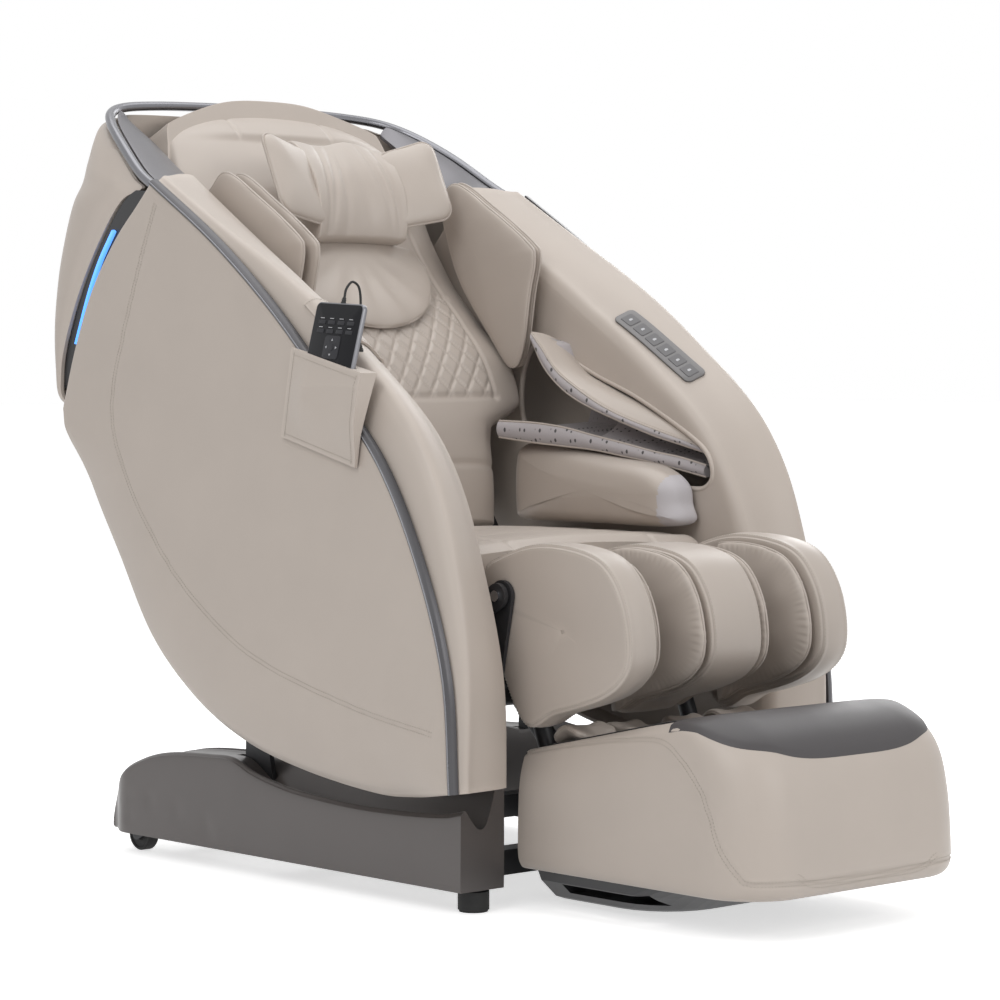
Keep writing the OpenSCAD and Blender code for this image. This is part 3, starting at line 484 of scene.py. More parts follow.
def ray(across, down):
    """Ray of the camera through a place in its frame, in pixels."""
    x = (across - FRAME_PIXELS / 2) / FRAME_PIXELS * eye.sensor_width / eye.lens
    y = (FRAME_PIXELS / 2 - down) / FRAME_PIXELS * eye.sensor_width / eye.lens
    m = Matrix.LocRotScale(eye_object.location, eye_object.rotation_euler.to_quaternion(), None)
    return m.translation, (m.to_3x3() @ Vector((x, y, -1))).normalized()


def trace(obj, pixels, step=0.004):
    """Line on the piece, where the camera meets it through the pixels."""
    out = []
    for across, down in even(on(pixels, np.linspace(0, 1, 12 * len(pixels))), 2):
        hit, p = obj.ray_cast(*ray(across, down))[:2]
        if hit:
            out.append(p)
    return even(np.array(out), step)


def beside(obj, line, off, lift=0.0004):
    """Line moved sideways over the surface by off, with the surface's normals."""
    p = np.asarray(line, float)
    d = unit(np.gradient(p, axis=0))
    pts, nor = [], []
    for a, t in zip(p, d):
        n = obj.closest_point_on_mesh(Vector(a))[2]
        q = Vector(a) + Vector(t).cross(n).normalized() * off
        spot, n = obj.closest_point_on_mesh(q)[1:3]
        pts.append(spot + n * lift)
        nor.append(n)
    return np.array(pts), np.array(nor)


middle_ray = ray(FRAME_PIXELS / 2, FRAME_PIXELS / 2)[1]
print("the camera looks along", [round(c, 3) for c in middle_ray])

# %% [markdown]
# Stitches are short beads of thread in a row on each side of a seam. Thousands of them are best set by
# a small tree of geometry nodes: one bead on each point, turned along the seam, and each a little
# shorter or longer than the last. The tree's result is kept as plain mesh, and the modifier goes.


# %% The tree that sets the stitches
def stitch_nodes():
    """Tree that sets one stitch on each point, from the point's own turn and length."""
    group = bpy.data.node_groups.new("stitch_row", "GeometryNodeTree")
    for name, way, kind in (("Geometry", "INPUT", "Geometry"), ("Thread", "INPUT", "Material"),
                            ("Unevenness", "INPUT", "Float"), ("Seed", "INPUT", "Int"),
                            ("Geometry", "OUTPUT", "Geometry")):
        group.interface.new_socket(name, in_out=way, socket_type="NodeSocket" + kind)
    add, link = group.nodes.new, group.links.new
    into, out = add("NodeGroupInput"), add("NodeGroupOutput")
    bead = add("GeometryNodeMeshUVSphere")
    bead.inputs["Segments"].default_value = 6
    bead.inputs["Rings"].default_value = 4
    bead.inputs["Radius"].default_value = 0.5
    place = add("GeometryNodeInstanceOnPoints")
    turn, size = add("GeometryNodeInputNamedAttribute"), add("GeometryNodeInputNamedAttribute")
    turn.data_type = size.data_type = "FLOAT_VECTOR"
    turn.inputs["Name"].default_value = "turn"
    size.inputs["Name"].default_value = "size"
    chance = add("FunctionNodeRandomValue")
    low, vary = add("ShaderNodeMath"), add("ShaderNodeVectorMath")
    low.operation = "SUBTRACT"
    low.inputs[0].default_value = 1
    vary.operation = "SCALE"
    real, skin = add("GeometryNodeRealizeInstances"), add("GeometryNodeSetMaterial")
    link(into.outputs["Unevenness"], low.inputs[1])
    link(low.outputs[0], chance.inputs["Min"])
    link(into.outputs["Seed"], chance.inputs["Seed"])
    link(size.outputs["Attribute"], vary.inputs[0])
    link(chance.outputs["Value"], vary.inputs["Scale"])
    link(into.outputs["Geometry"], place.inputs["Points"])
    link(bead.outputs["Mesh"], place.inputs["Instance"])
    link(turn.outputs["Attribute"], place.inputs["Rotation"])
    link(vary.outputs[0], place.inputs["Scale"])
    link(place.outputs[0], real.inputs[0])
    link(real.outputs[0], skin.inputs["Geometry"])
    link(into.outputs["Thread"], skin.inputs["Material"])
    link(skin.outputs[0], out.inputs[0])
    return group


# %% Rows of stitches, noted first and sewn at the end
PITCH, STITCH_LONG, STITCH_WIDE, UNEVEN = 0.0048, 0.0036, 0.0011, 0.18
stitch_rows = {}


def stitches(obj, line, off, body, pitch=PITCH):
    """Notes a row of stitches beside a seam: a place, a turn and a size for each."""
    p, n = beside(obj, even(line, pitch), off)
    d = unit(np.gradient(p, axis=0))
    turns = []
    for a, b in zip(d, n):
        x, z = Vector(a), Vector(b)
        y = z.cross(x).normalized()
        turns.append(Matrix((x, y, x.cross(y))).transposed().to_euler()[:])
    size = (STITCH_LONG, STITCH_WIDE, STITCH_WIDE * 0.8)
    stitch_rows.setdefault(body, []).append((p, turns, [size] * len(p)))


def twin_stitches(obj, line, off, body):
    """A row on each side of a seam, off millimetres from it."""
    for side in (-off, off):
        stitches(obj, line, side / 1000, body)


def sew(body, seed):
    """Builds the noted rows of one body as one plain mesh."""
    points, turns, sizes = (np.concatenate(k) for k in zip(*stitch_rows[body]))
    mesh = bpy.data.meshes.new("stitch_points")
    mesh.from_pydata(points.tolist(), [], [])
    for label, data in (("turn", turns), ("size", sizes)):
        mesh.attributes.new(label, "FLOAT_VECTOR", "POINT").data.foreach_set("vector", data.ravel())
    row = bpy.data.objects.new(f"stitching_{body}", mesh)
    scene.collection.objects.link(row)
    mod = row.modifiers.new("row", "NODES")
    mod.node_group = stitch_group
    sockets = {i.name: i.identifier for i in stitch_group.interface.items_tree if i.in_out == "INPUT"}
    mod[sockets["Thread"]] = material("thread")
    mod[sockets["Unevenness"]] = UNEVEN
    mod[sockets["Seed"]] = seed
    sewn = grown(row)
    row.modifiers.clear()
    row.data = sewn
    bpy.data.meshes.remove(mesh)
    for f in sewn.polygons:
        f.use_smooth = True
    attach(row, body)
    return len(points)


stitch_group = stitch_nodes()
print("stitch tree:", len(stitch_group.nodes), "nodes")

# %% [markdown]
# ## Finishes
# The chair shows warm beige leather, punched fabric in the arms, dark brushed strips, grey plastic and
# black rubber. Pictures of leather could be wrapped on, but they need unwrapped meshes and show their
# repeats. Procedural textures in object coordinates fit any mesh and keep their true size.

# %% A shader and its nodes
made = {}


def shader(name, inputs):
    """New material with its main node, whose inputs are set by name."""
    m = bpy.data.materials.new(name)
    m.use_nodes = True
    main = m.node_tree.nodes["Principled BSDF"]
    for key, value in inputs.items():
        main.inputs[key].default_value = value
    return m, m.node_tree.nodes, m.node_tree.links, main


def node(nodes, kind, inputs=None, **settings):
    """New node of a kind, with its settings and then its inputs."""
    new = nodes.new("ShaderNode" + kind)
    for key, value in settings.items():
        setattr(new, key, value)
    for key, value in (inputs or {}).items():
        new.inputs[key].default_value = value
    return new


def tones(nodes, colour, down, up):
    """Mix of two near tones of one colour."""
    return node(nodes, "Mix", {"A": (*[c * down for c in colour], 1),
                               "B": (*[min(1, c * up) for c in colour], 1)}, data_type="RGBA")


# %% [markdown]
# ### Leather
# The covering is soft synthetic leather with a fine grain and a low sheen. A scanned texture would need
# unwrapping, and one flat bump would look like plastic. So two bumps lie over each other, cells and
# pores, and the tone drifts slowly; creases get painted shade, a little darker, and edges are lighter, as
# rubbed leather wears.

# %% Leather
def leather(name, colour, grain=900.0, rough=0.42):
    """Fine cells and pores, a slow change of tone, painted shade in the creases and lighter worn edges."""
    m, nodes, links, main = shader(name, {"Coat Weight": 0.08, "Coat Roughness": 0.35,
                                          "Sheen Weight": 0.12, "Sheen Roughness": 0.4})
    link = links.new
    pos = node(nodes, "TexCoord")
    cell = node(nodes, "TexVoronoi", {"Scale": grain}, feature="DISTANCE_TO_EDGE")
    fine = node(nodes, "TexNoise", {"Scale": grain * 0.6, "Detail": 4})
    soft = node(nodes, "TexNoise", {"Scale": 9, "Detail": 3})
    for texture in (cell, fine, soft):
        link(pos.outputs["Object"], texture.inputs["Vector"])
    tone = tones(nodes, colour, 0.95, 1.04)
    link(soft.outputs["Fac"], tone.inputs["Factor"])
    # Painted shade: pointiness darkens the concave creases, and the lighter convex edges stand for wear.
    point = node(nodes, "NewGeometry")
    crease_shade_edge_wear = node(nodes, "MapRange", {"From Min": 0.46, "From Max": 0.54, "To Min": 0.9, "To Max": 1.05})
    link(point.outputs["Pointiness"], crease_shade_edge_wear.inputs["Value"])
    shade = node(nodes, "VectorMath", operation="SCALE")
    link(tone.outputs["Result"], shade.inputs[0])
    link(crease_shade_edge_wear.outputs["Result"], shade.inputs["Scale"])
    link(shade.outputs[0], main.inputs["Base Color"])
    dull = node(nodes, "MapRange", {"To Min": rough - 0.05, "To Max": rough + 0.09})
    link(fine.outputs["Fac"], dull.inputs["Value"])
    link(dull.outputs["Result"], main.inputs["Roughness"])
    cells = node(nodes, "Bump", {"Strength": 0.10, "Distance": 0.0004})
    link(cell.outputs["Distance"], cells.inputs["Height"])
    pores = node(nodes, "Bump", {"Strength": 0.06, "Distance": 0.0006})
    link(fine.outputs["Fac"], pores.inputs["Height"])
    link(cells.outputs["Normal"], pores.inputs["Normal"])
    link(pores.outputs["Normal"], main.inputs["Normal"])
    return m


# %% [markdown]
# ### Punched fabric
# The airbags in the arms are covered with a light fabric full of small round holes in rows. Real holes
# would need millions of points. A cell texture without randomness gives even rows, and its dark dots are
# pressed in by a bump, which is enough at arm's length.

# %% Punched fabric
def mesh_cloth(name, colour):
    """Fabric with rows of small punched holes."""
    m, nodes, links, main = shader(name, {"Roughness": 0.8, "Sheen Weight": 0.3})
    link = links.new
    pos = node(nodes, "TexCoord")
    hole = node(nodes, "TexVoronoi", {"Scale": 105, "Randomness": 0})
    weave = node(nodes, "TexNoise", {"Scale": 1400})
    link(pos.outputs["Object"], weave.inputs["Vector"])
    flat = node(nodes, "VectorMath", {1: (1, 1.1, 0.6)}, operation="MULTIPLY")
    link(pos.outputs["Object"], flat.inputs[0])
    link(flat.outputs[0], hole.inputs["Vector"])
    ramp = node(nodes, "ValToRGB")
    dark, bright = ramp.color_ramp.elements
    dark.position, dark.color = 0.19, (*[c * 0.16 for c in colour], 1)
    bright.position, bright.color = 0.27, (*colour, 1)
    link(hole.outputs["Distance"], ramp.inputs["Fac"])
    tone = node(nodes, "Mix", {"Factor": 0.25}, data_type="RGBA", blend_type="MULTIPLY")
    link(ramp.outputs["Color"], tone.inputs["A"])
    link(weave.outputs["Fac"], tone.inputs["B"])
    link(tone.outputs["Result"], main.inputs["Base Color"])
    dents = node(nodes, "Bump", {"Strength": 0.4, "Distance": 0.0008})
    link(ramp.outputs["Color"], dents.inputs["Height"])
    link(dents.outputs["Normal"], main.inputs["Normal"])
    return m


# %% [markdown]
# ### Hard finishes
# Plastic, paint, rubber and metal differ in colour, gloss and grain, but they are built alike. One
# helper with a few named settings makes them all. Each keeps a fine speckle and an uneven gloss,
# because a perfectly even surface looks like a drawing.

# %% Plastic, paint, rubber and metal
def hard(name, colour, rough, metal=0.0, coat=0.0, speck=0.05, scale=900.0, shine=0.5):
    """Moulded plastic, paint, rubber or metal, with fine texture and an uneven gloss."""
    m, nodes, links, main = shader(name, {"Metallic": metal, "Specular IOR Level": shine,
                                          "Coat Weight": coat, "Coat Roughness": 0.15})
    link = links.new
    pos = node(nodes, "TexCoord")
    fine = node(nodes, "TexNoise", {"Scale": scale, "Detail": 3})
    soft = node(nodes, "TexNoise", {"Scale": 14, "Detail": 5})
    for texture in (fine, soft):
        link(pos.outputs["Object"], texture.inputs["Vector"])
    tone = tones(nodes, colour, 1 - speck, 1 + speck)
    link(fine.outputs["Fac"], tone.inputs["Factor"])
    link(tone.outputs["Result"], main.inputs["Base Color"])
    dull = node(nodes, "MapRange", {"To Min": max(rough - 0.06, 0.02), "To Max": rough + 0.08})
    link(soft.outputs["Fac"], dull.inputs["Value"])
    link(dull.outputs["Result"], main.inputs["Roughness"])
    dents = node(nodes, "Bump", {"Strength": 0.06 if metal else 0.14, "Distance": 0.0003})
    link(fine.outputs["Fac"], dents.inputs["Height"])
    link(dents.outputs["Normal"], main.inputs["Normal"])
    return m


# %% [markdown]
# ### Blue light
# Each crescent holds a frosted tube that glows blue and is paler at its upper end. A hidden lamp behind
# clear plastic would be noisy to render. The tube's own plastic gives off the light instead, and its
# colour follows the height.

# %% The lit tube in the crescents
GLOW_LOW, GLOW_HIGH = 0.80, 0.98


def glow(name, colour, strength):
    """Lit plastic that turns paler towards the tube's upper end."""
    m, nodes, links, main = shader(name, {"Base Color": (*colour, 1), "Roughness": 0.3,
                                          "Emission Strength": strength})
    pos = node(nodes, "TexCoord")
    axis = node(nodes, "SeparateXYZ")
    links.new(pos.outputs["Object"], axis.inputs[0])
    ramp = node(nodes, "ValToRGB")
    span = node(nodes, "MapRange", {"From Min": GLOW_LOW, "From Max": GLOW_HIGH})
    links.new(axis.outputs["Z"], span.inputs["Value"])
    ramp.color_ramp.elements[0].color = (*colour, 1)
    ramp.color_ramp.elements[1].color = (colour[0] * 1.5, colour[1] * 1.1, colour[2], 1)
    links.new(span.outputs["Result"], ramp.inputs["Fac"])
    links.new(ramp.outputs["Color"], main.inputs["Emission Color"])
    return m


# %% [markdown]
# Each finish is set up once, when the first piece asks for it. Solid parts without a skin stay in sight,
# or show when the chair opens, so each takes the finish of its own slot. The beige and the greys were
# set under the lamps at the end.

# %% The chair's finishes
SHELL_BEIGE, CUSHION_BEIGE = (0.50, 0.438, 0.388), (0.48, 0.42, 0.372)
MAKERS = {
    "shell_leather": lambda n: leather(n, SHELL_BEIGE, 1100, 0.46),
    "cushion_leather": lambda n: leather(n, CUSHION_BEIGE, 800, 0.4),
    "mesh_fabric": lambda n: mesh_cloth(n, (0.47, 0.435, 0.445)),
    "light_fabric": lambda n: hard(n, (0.50, 0.475, 0.49), 0.8, scale=1500, speck=0.1),
    "thread": lambda n: hard(n, (0.44, 0.40, 0.35), 0.7, scale=3000, speck=0.12),
    "strip_metal": lambda n: hard(n, (0.20, 0.20, 0.215), 0.27, metal=0.9),
    "dark_strip": lambda n: hard(n, (0.085, 0.083, 0.088), 0.34, metal=0.6),
    "gunmetal": lambda n: hard(n, (0.16, 0.155, 0.165), 0.34, metal=0.75, scale=2500, speck=0.14),
    "base_paint": lambda n: hard(n, (0.098, 0.088, 0.085), 0.33, metal=0.3, scale=1800),
    "frame_steel": lambda n: hard(n, (0.035, 0.035, 0.038), 0.45, metal=0.3),
    "bright_steel": lambda n: hard(n, (0.55, 0.55, 0.57), 0.22, metal=1.0),
    "black_plastic": lambda n: hard(n, (0.018, 0.018, 0.02), 0.42),
    "dark_panel": lambda n: hard(n, (0.052, 0.047, 0.049), 0.48, scale=1300),
    "rubber": lambda n: hard(n, (0.015, 0.015, 0.015), 0.7, scale=700),
    "panel_grey": lambda n: hard(n, (0.155, 0.15, 0.15), 0.36, metal=0.3),
    "key_grey": lambda n: hard(n, (0.115, 0.112, 0.115), 0.4, metal=0.2),
    "remote_black": lambda n: hard(n, (0.01, 0.01, 0.012), 0.4, speck=0.02, shine=0.16),
    "silver_trim": lambda n: hard(n, (0.22, 0.22, 0.235), 0.32, metal=0.9),
    "keypad": lambda n: hard(n, (0.03, 0.03, 0.034), 0.55, shine=0.25),
    "key_mark": lambda n: hard(n, (0.5, 0.5, 0.52), 0.5, speck=0.02),
    "switch_red": lambda n: hard(n, (0.4, 0.03, 0.02), 0.25, coat=0.3),
    "led_lens": lambda n: glow(n, (0.085, 0.33, 1.0), 1.25),
    "piping": lambda n: leather(n, [c * 0.9 for c in CUSHION_BEIGE], 1400, 0.42),
    "black_leather": lambda n: leather(n, (0.02, 0.02, 0.021), 1000, 0.5),
}


def material(name):
    """The finish of that name, made when it is first asked for."""
    if name not in made:
        made[name] = MAKERS[name](name)
        print(f"finish {name}: {len(made[name].node_tree.nodes)} nodes")
    return made[name]


# %% Finishes on the solid parts
for row in frame["record"]["subparts"]:
    mesh = frame["nodes"][row["node"]].data
    mesh.materials.clear()
    mesh.materials.append(material(row["material_slot"]))
    for f in mesh.polygons:
        f.material_index = 0
print("finishes on the solid parts:", len(made))

# %% [markdown]
# ## The remote's cord
# A thin rubber lead leaves the top of the hand remote in a small arch and goes into a grommet on the
# right arm. A bevelled curve object would show it too, but a tube on a curve stays a plain mesh, and the
# same points then give its real length. Ribs on the grommet ease the bend where the lead goes in.

# %% Cord, gland and strain relief
CORD = [[-377.4, -44.7, 867.2], [-374.4, -45, 879], [-364, -45.2, 889], [-352.6, -45.6, 883],
        [-349, -46, 867], [-349.4, -46, 846], [-351, -46, 822], [-352, -46, 800]]
CORD_RADIUS = 1.8
GLAND_PLACE = (-352, -46, 793)
RELIEF_RIBS = [(-10, 6.2), (-1, 6.4), (0, 6.3), (1.2, 5.2), (2.4, 5.7), (3.8, 4.6), (5, 5.1), (6.4, 4.0),
               (7.6, 4.4), (9, 3.2), (11, 2.4), (12.5, 2.0)]
cord_points = on(CORD, np.linspace(0, 1, 31))
cord = put("remote_cord_flex", *pipe(cord_points, CORD_RADIUS, up=(0.3, 1, 0.1), n=14), "seat",
           "rubber", "remote_cord")
relief = []
for z, r in RELIEF_RIBS:
    rib = np.column_stack([r * np.cos(circle(20)), r * np.sin(circle(20))]) + GLAND_PLACE[:2]
    relief.append(level(rib, GLAND_PLACE[2] + z * 0.9))
put("cord_grommet", *loft(relief), "seat", "rubber", "cord_gland")
cord_path = cord_points / 1000
tuple(cord_path[0])
length(cord_path)
[tuple(map(float, p)) for p in cord_path]
print("cord is", round(length(cord_points), 1), "mm long")

# %% [markdown]
# ## Side shells
# Each side of the chair is a big moulded panel in leather, flat in the middle and rolled over at its
# rim, with a slight belly along the bottom. A bevel on a flat plate would give the same roll all round.
# Here rings of the outline shrink towards a middle point while they move in x, so that the roll can be
# soft outside and tight inside.

# %% Outline of the side shells
STRIP = [[400, 1044], [250, 954], [116, 856], [-6, 748], [-128, 636], [-213, 496], [-268, 342],
         [-282, 182]]
BELLY = [[-282, 182], [-170, 165], [-85, 163], [65, 180], [200, 210], [320, 264], [428, 350],
         [514, 474], [580, 570], [622, 648], [632, 702]]
SPLIT = [[632, 702], [598, 795], [552, 886], [491, 962], [434, 1013], [400, 1044]]
SHELL_X = 396
SHELL_MIDDLE = np.array([140, 560])
ring_t = [np.linspace(0, 1, n, endpoint=False) for n in (100, 120, 54)]
shell_ring = np.concatenate([on(k, t) for k, t in zip((STRIP, BELLY, SPLIT), ring_t)])
print("shell outline:", round(length(shell_ring)), "mm round")

# %% Skin of the side shells
# Each row is a share of the way to the middle, the x beside the belly and the x at the belly
OUTER_ROLL = [[1, 396, 396], [0.55, 396, 396], [0.24, 395, 393], [0.07, 394, 383], [0.02, 393, 371],
              [0.004, 391.5, 362], [0, 388, 354]]
INNER_ROLL = [[0.003, 384, 330], [0.006, 382, 294], [0.019, 382, 294], [0.016, 386, 353],
              [0.08, 388, 373], [0.24, 390, 388], [0.55, 391, 391], [0.99, 391, 391]]
deep = np.concatenate([np.zeros(100), smooth(26 * ring_t[1] / 3) * smooth((25 - 26 * ring_t[1]) / 4),
                       np.zeros(54)])
rings = []
for share, plain, bellied in np.concatenate([on(OUTER_ROLL, np.linspace(0, 1, 64))[1:], INNER_ROLL]):
    rings.append(with_x(mix(shell_ring, SHELL_MIDDLE, min(share, 0.99)), mix(plain, bellied, deep)))
shell = loft(rings)
right_shell = put("side_shell_skin_right", *mirrored(shell), "seat", "shell_leather", "side_shell_right")
left_shell = put("side_shell_skin_left", *shell, "seat", "shell_leather", "side_shell_left")

# %% [markdown]
# The leather of each shell is two panels, and their seam runs in a long bow from the front edge down
# to the rear. It is pressed in, and a row of stitches lies on each side of it.

# %% Seam of the side shells, as the camera sees it on the right one
SIDE_SEAM_PIXELS = [(155, 205), (140, 262), (122, 340), (112, 400), (117.7, 450),
                    (142.6, 516), (185.7, 589), (252, 656), (351.5, 707), (431, 735)]
SHELL_SEAM = (1.3, 2.2, 0.4)
STITCH_OFF = 3.2
side_seam = trace(right_shell, SIDE_SEAM_PIXELS)
for skin, line in ((right_shell, side_seam), (left_shell, flip(side_seam))):
    seam(skin, [line], *SHELL_SEAM)
    twin_stitches(skin, line, STITCH_OFF, "seat")
print("side seam:", round(length(side_seam), 2), "m")

# %% [markdown]
# ## Padded arms
# The arms are thick pads that follow the bright strip from the top caps down to the knees. Their
# crown is full in the middle of the arm and runs out at both ends, and a crease parts the crown from the
# inner face. One section with a few places is swept along the strip's line, and its height changes on
# the way; that is easier to steer than a carved block.

# %% Lines of the arm
ARM_IN, ARM_FAR, CROWN = 264, SHELL_X - 19, 66
ARM_ROWS, ARM_SKIN = 150, 8
END_SLANT = 48
WALL = [[455, 1010], [520, 930], [560, 820], [540, 700], [470, 590], [330, 490], [140, 446],
        [-60, 440], [-170, 400], [-215, 300], [-235, 196]]
CROWN_SHARE = [[0, 0.15], [1, 0.24], [2, 0.54], [3, 0.84], [4, 1], [5, 0.93], [6, 0.58], [7, 0.3],
               [8, 0.12]]


def arm_crown(t):
    """Height of the crown above the strip's line."""
    return CROWN * float(on(CROWN_SHARE, t)[0, 1])


def arm_crease(t):
    """Height of the crease between the crown and the inner face."""
    return arm_crown(t) - CROWN * min(0.24 + t * 1.3, 0.6 - 0.35 * float(smooth((t - 0.6) / 0.4)))


def arm_foot(t):
    """Height at which the padding gives way to the flat inner wall."""
    return min(-16, arm_crease(t) - 26)


print("the crown is", round(arm_crown(0.5)), "mm high at the elbow")

# %% Section of the arm
def arm_knots(t, d=0):
    """From beside the strip over the crown and the crease to the inner face."""
    c, e = arm_crown(t), arm_crease(t)
    return np.array([[ARM_FAR - d, -14], [ARM_FAR - d, 4 - d * 0.4],
                     [ARM_FAR - 4 - d * 0.6, 4 + c * 0.4 - d],
                     [ARM_FAR - 12, 5 + c * 0.75 - d], [ARM_FAR - 25, c - d],
                     [mix(ARM_IN, ARM_FAR, 0.48), mix(c, e, 0.38) + 3 - d], [ARM_IN + 22, e + 5 - d],
                     [ARM_IN + 9 + d * 0.5, e - 3 - d * 0.8], [ARM_IN + 2 + d * 0.9, e - 16 - d * 0.4],
                     [ARM_IN + d, arm_foot(t)]])


def arm_rows(d, n, m):
    """The arm's surface, d below the leather: n points over the crown and m down the inner wall."""
    out = []
    for t in np.linspace(0, 1, ARM_ROWS):
        p, o, h = on(STRIP, t)[0], outward(STRIP, t)[0], heading(STRIP, t)[0]
        e = on(WALL, t)[0]
        s = on(arm_knots(t, d), np.linspace(0, 1, n))
        skew = END_SLANT * (ARM_FAR - s[:, 0]) / (ARM_FAR - ARM_IN) * (1 - min(t * 7, 1)) ** 2
        r = p + o * s[:, 1:2] - h * skew[:, None]
        f = p + o * arm_foot(t) - h * END_SLANT * (1 - min(t * 7, 1)) ** 2
        k = np.linspace(0, 1, m + 1)[1:, None]
        r = np.concatenate([r, f + (e - f) * k])
        out.append(np.column_stack([np.r_[s[:, 0], np.full(m, ARM_IN + d)], r]))
    return np.array(out)


print("the arm's section has", len(arm_knots(0.5)), "places")

# %% [markdown]
# The forearm goes into the arm through a long opening in the inner face. It is cut out of the finished
# pad, and a rolled leather rim covers the cut, as a bound edge does.

# %% Arms with their openings
HOLE = [[-90, 581], [-130, 582], [-148, 600], [-138, 632], [-98, 662], [10, 716], [108, 753],
        [190, 790], [232, 812], [262, 790], [280, 740], [276, 680], [240, 640], [120, 612],
        [0, 592], [-90, 581]]
RIM_RADII = (4.6, 5.2)
arm = slab(arm_rows(0, 44, 26), arm_rows(ARM_SKIN, 44, 26))
hole = on(HOLE, np.linspace(0, 1, 120, endpoint=False))
for side, turn in (("right", flip), ("left", same)):
    band = put(f"arm_cover_{side}", turn(arm[0]), arm[1], "seat", "shell_leather", f"arm_band_{side}")
    carve(band, *loft([turn(with_x(hole, ARM_IN - 6)), turn(with_x(hole, ARM_IN + 14))]))
    rim = turn(with_x(inset(hole, -1.5), ARM_IN + 3.5))
    put(f"arm_opening_rim_{side}", *pipe(rim, *RIM_RADII, n=12, closed=True), "seat", "shell_leather")

# %% [markdown]
# ## Bright strips
# Between each shell and its arm lies a dark brushed strip with a brighter bead along its outer edge and a
# rubber seal on its inner one. Extruding a profile along a curve object would twist it at the bends,
# so each section is set square to the strip's line.

# %% Strips, beads and seals
STRIP_OUT, STRIP_IN = SHELL_X - 2, SHELL_X - 15
strip_t = np.linspace(0, 1, 140)
strip_places = list(zip(on(STRIP, strip_t), outward(STRIP, strip_t)))


def along_strip(section):
    """Section of x and height swept along the strip's line."""
    return loft([np.column_stack([section[:, 0], p + o * section[:, 1:2]]) for p, o in strip_places])


def oval(x, height, a, b):
    """Small round or oval section at x and height."""
    return np.column_stack([x + a * np.cos(circle(8)), height + b * np.sin(circle(8))])


profile = on([[STRIP_OUT, 1.5], [STRIP_OUT - 0.6, 4], [STRIP_OUT - 3, 6],
              [mix(STRIP_IN, STRIP_OUT, 0.5), 8], [STRIP_IN + 1, 9], [STRIP_IN - 1, 8.4],
              [STRIP_IN - 1, 2], [STRIP_IN + 3, 1], [STRIP_OUT - 1, 1], [STRIP_OUT, 1.5]],
             np.linspace(0, 1, 34, endpoint=False))
put("bright_strips", *pair(along_strip(profile)), "seat", "strip_metal", "chrome_strips",
    mats=["dark_strip"], sharp=30)
put("strip_beads", *pair(along_strip(oval(STRIP_OUT - 0.4, 3.4, 1.3, 1.3))), "seat", "strip_metal",
    sharp=60)
put("strip_seals", *pair(along_strip(oval(STRIP_IN - 3.2, 3, 1.6, 2.4))), "seat", "rubber")

# %% [markdown]
# ## Seat cushion
# The seat is a foam pad in leather with sewn channels across it and a crease towards each hip. A cloth
# simulation over a block could find its form, but its swelling is close to a sum of plain waves: a low
# crown from side to side, and a sharp dip at each channel.

# %% Seat cushion
SEAT_HALF, SEAT_FRONT, SEAT_REAR, SEAT_LOW, SEAT_TOP = 254, -150, 228, 436.0, 512
CHANNEL_PITCH, CHANNEL_RISE, SEAT_CROWN = 82, 5, 6
REAR_DROP, FRONT_DROP, SIDE_DROP = 12, 14, 12
CREASE_X, CREASE_DEEP, CREASE_WIDE = 150, 2.6, 5.5


def seat_top(x, y):
    """Height of the pad with its crown, its channels and its rounded front and rear."""
    crown = SEAT_CROWN * np.cos(math.pi * x / SEAT_HALF / 1.2)
    rise = crown + CHANNEL_RISE * np.abs(np.cos(math.pi * (y - SEAT_FRONT) / CHANNEL_PITCH)) ** 0.5
    rear = REAR_DROP * smooth((y - 120) / 120)
    return SEAT_TOP + rise - rear - FRONT_DROP * (1 - smooth((y - SEAT_FRONT) / 34)) ** 2


x, y = np.meshgrid(np.linspace(-SEAT_HALF, SEAT_HALF, 150), np.linspace(SEAT_FRONT, SEAT_REAR, 130))
side_drop = SIDE_DROP * np.clip(1 - (SEAT_HALF - np.abs(x)) / 26, 0, 1) ** 2
crease = CREASE_DEEP * np.exp(-((np.abs(np.abs(x) - CREASE_X - 0.05 * y)) / CREASE_WIDE) ** 2)
top = np.stack([x, y, seat_top(x, y) - side_drop - crease], -1)
underside = np.stack([x * 0.985, y * 0.985 + 2, np.full(x.shape, SEAT_LOW)], -1)
seat = put("seat_cushion_pad", *slab(top, underside), "seat", "cushion_leather", "seat_cushion", sharp=60)
rumple(seat, 0.7, 0.07, 3)

# %% [markdown]
# ## Hip cushions
# An upright pad at each side of the seat holds the hips. Its front end is covered with a lighter
# fabric. The outline shrinks into the pad's middle ring by ring, and the rings' x gives the round edge;
# a few rounds of evening out take away what a stuffed pad wouldn't show.

# %% Hip cushions
HIP = [[236, 520], [238, 600], [218, 644], [120, 640], [20, 626], [-66, 614], [-112, 590],
       [-121, 560], [-116, 524], [60, 522], [236, 520]]
HIP_MIDDLE = np.array([60, 575])
HIP_SWELL = [[258, 40, 0.6], [258, 14, 0.02], [256, 4, 0], [250, 0, 0], [240, 0, 0], [224, 0, 0],
             [210, 4, 0.01], [199, 12, 0.04], [194, 22, 0.12], [191, 30, 0.35], [190, 30, 0.6],
             [189.6, 30, 0.9]]
FABRIC_FRONT = -0.098
hip_ring = on(HIP, np.linspace(0, 1, 140, endpoint=False))
hip = loft([with_x(mix(inset(hip_ring, max(d, 0)), HIP_MIDDLE, share), x)
            for x, d, share in on(HIP_SWELL, np.linspace(0, 1, 60))])
hips = put("hip_cushion_pads", *pair(hip), "seat", "cushion_leather", "hip_cushions",
           mats=["cushion_leather", "light_fabric"], sharp=70)
relax(hips, 10)
for f in hips.data.polygons:
    if f.center.y < FABRIC_FRONT:
        f.material_index = 1

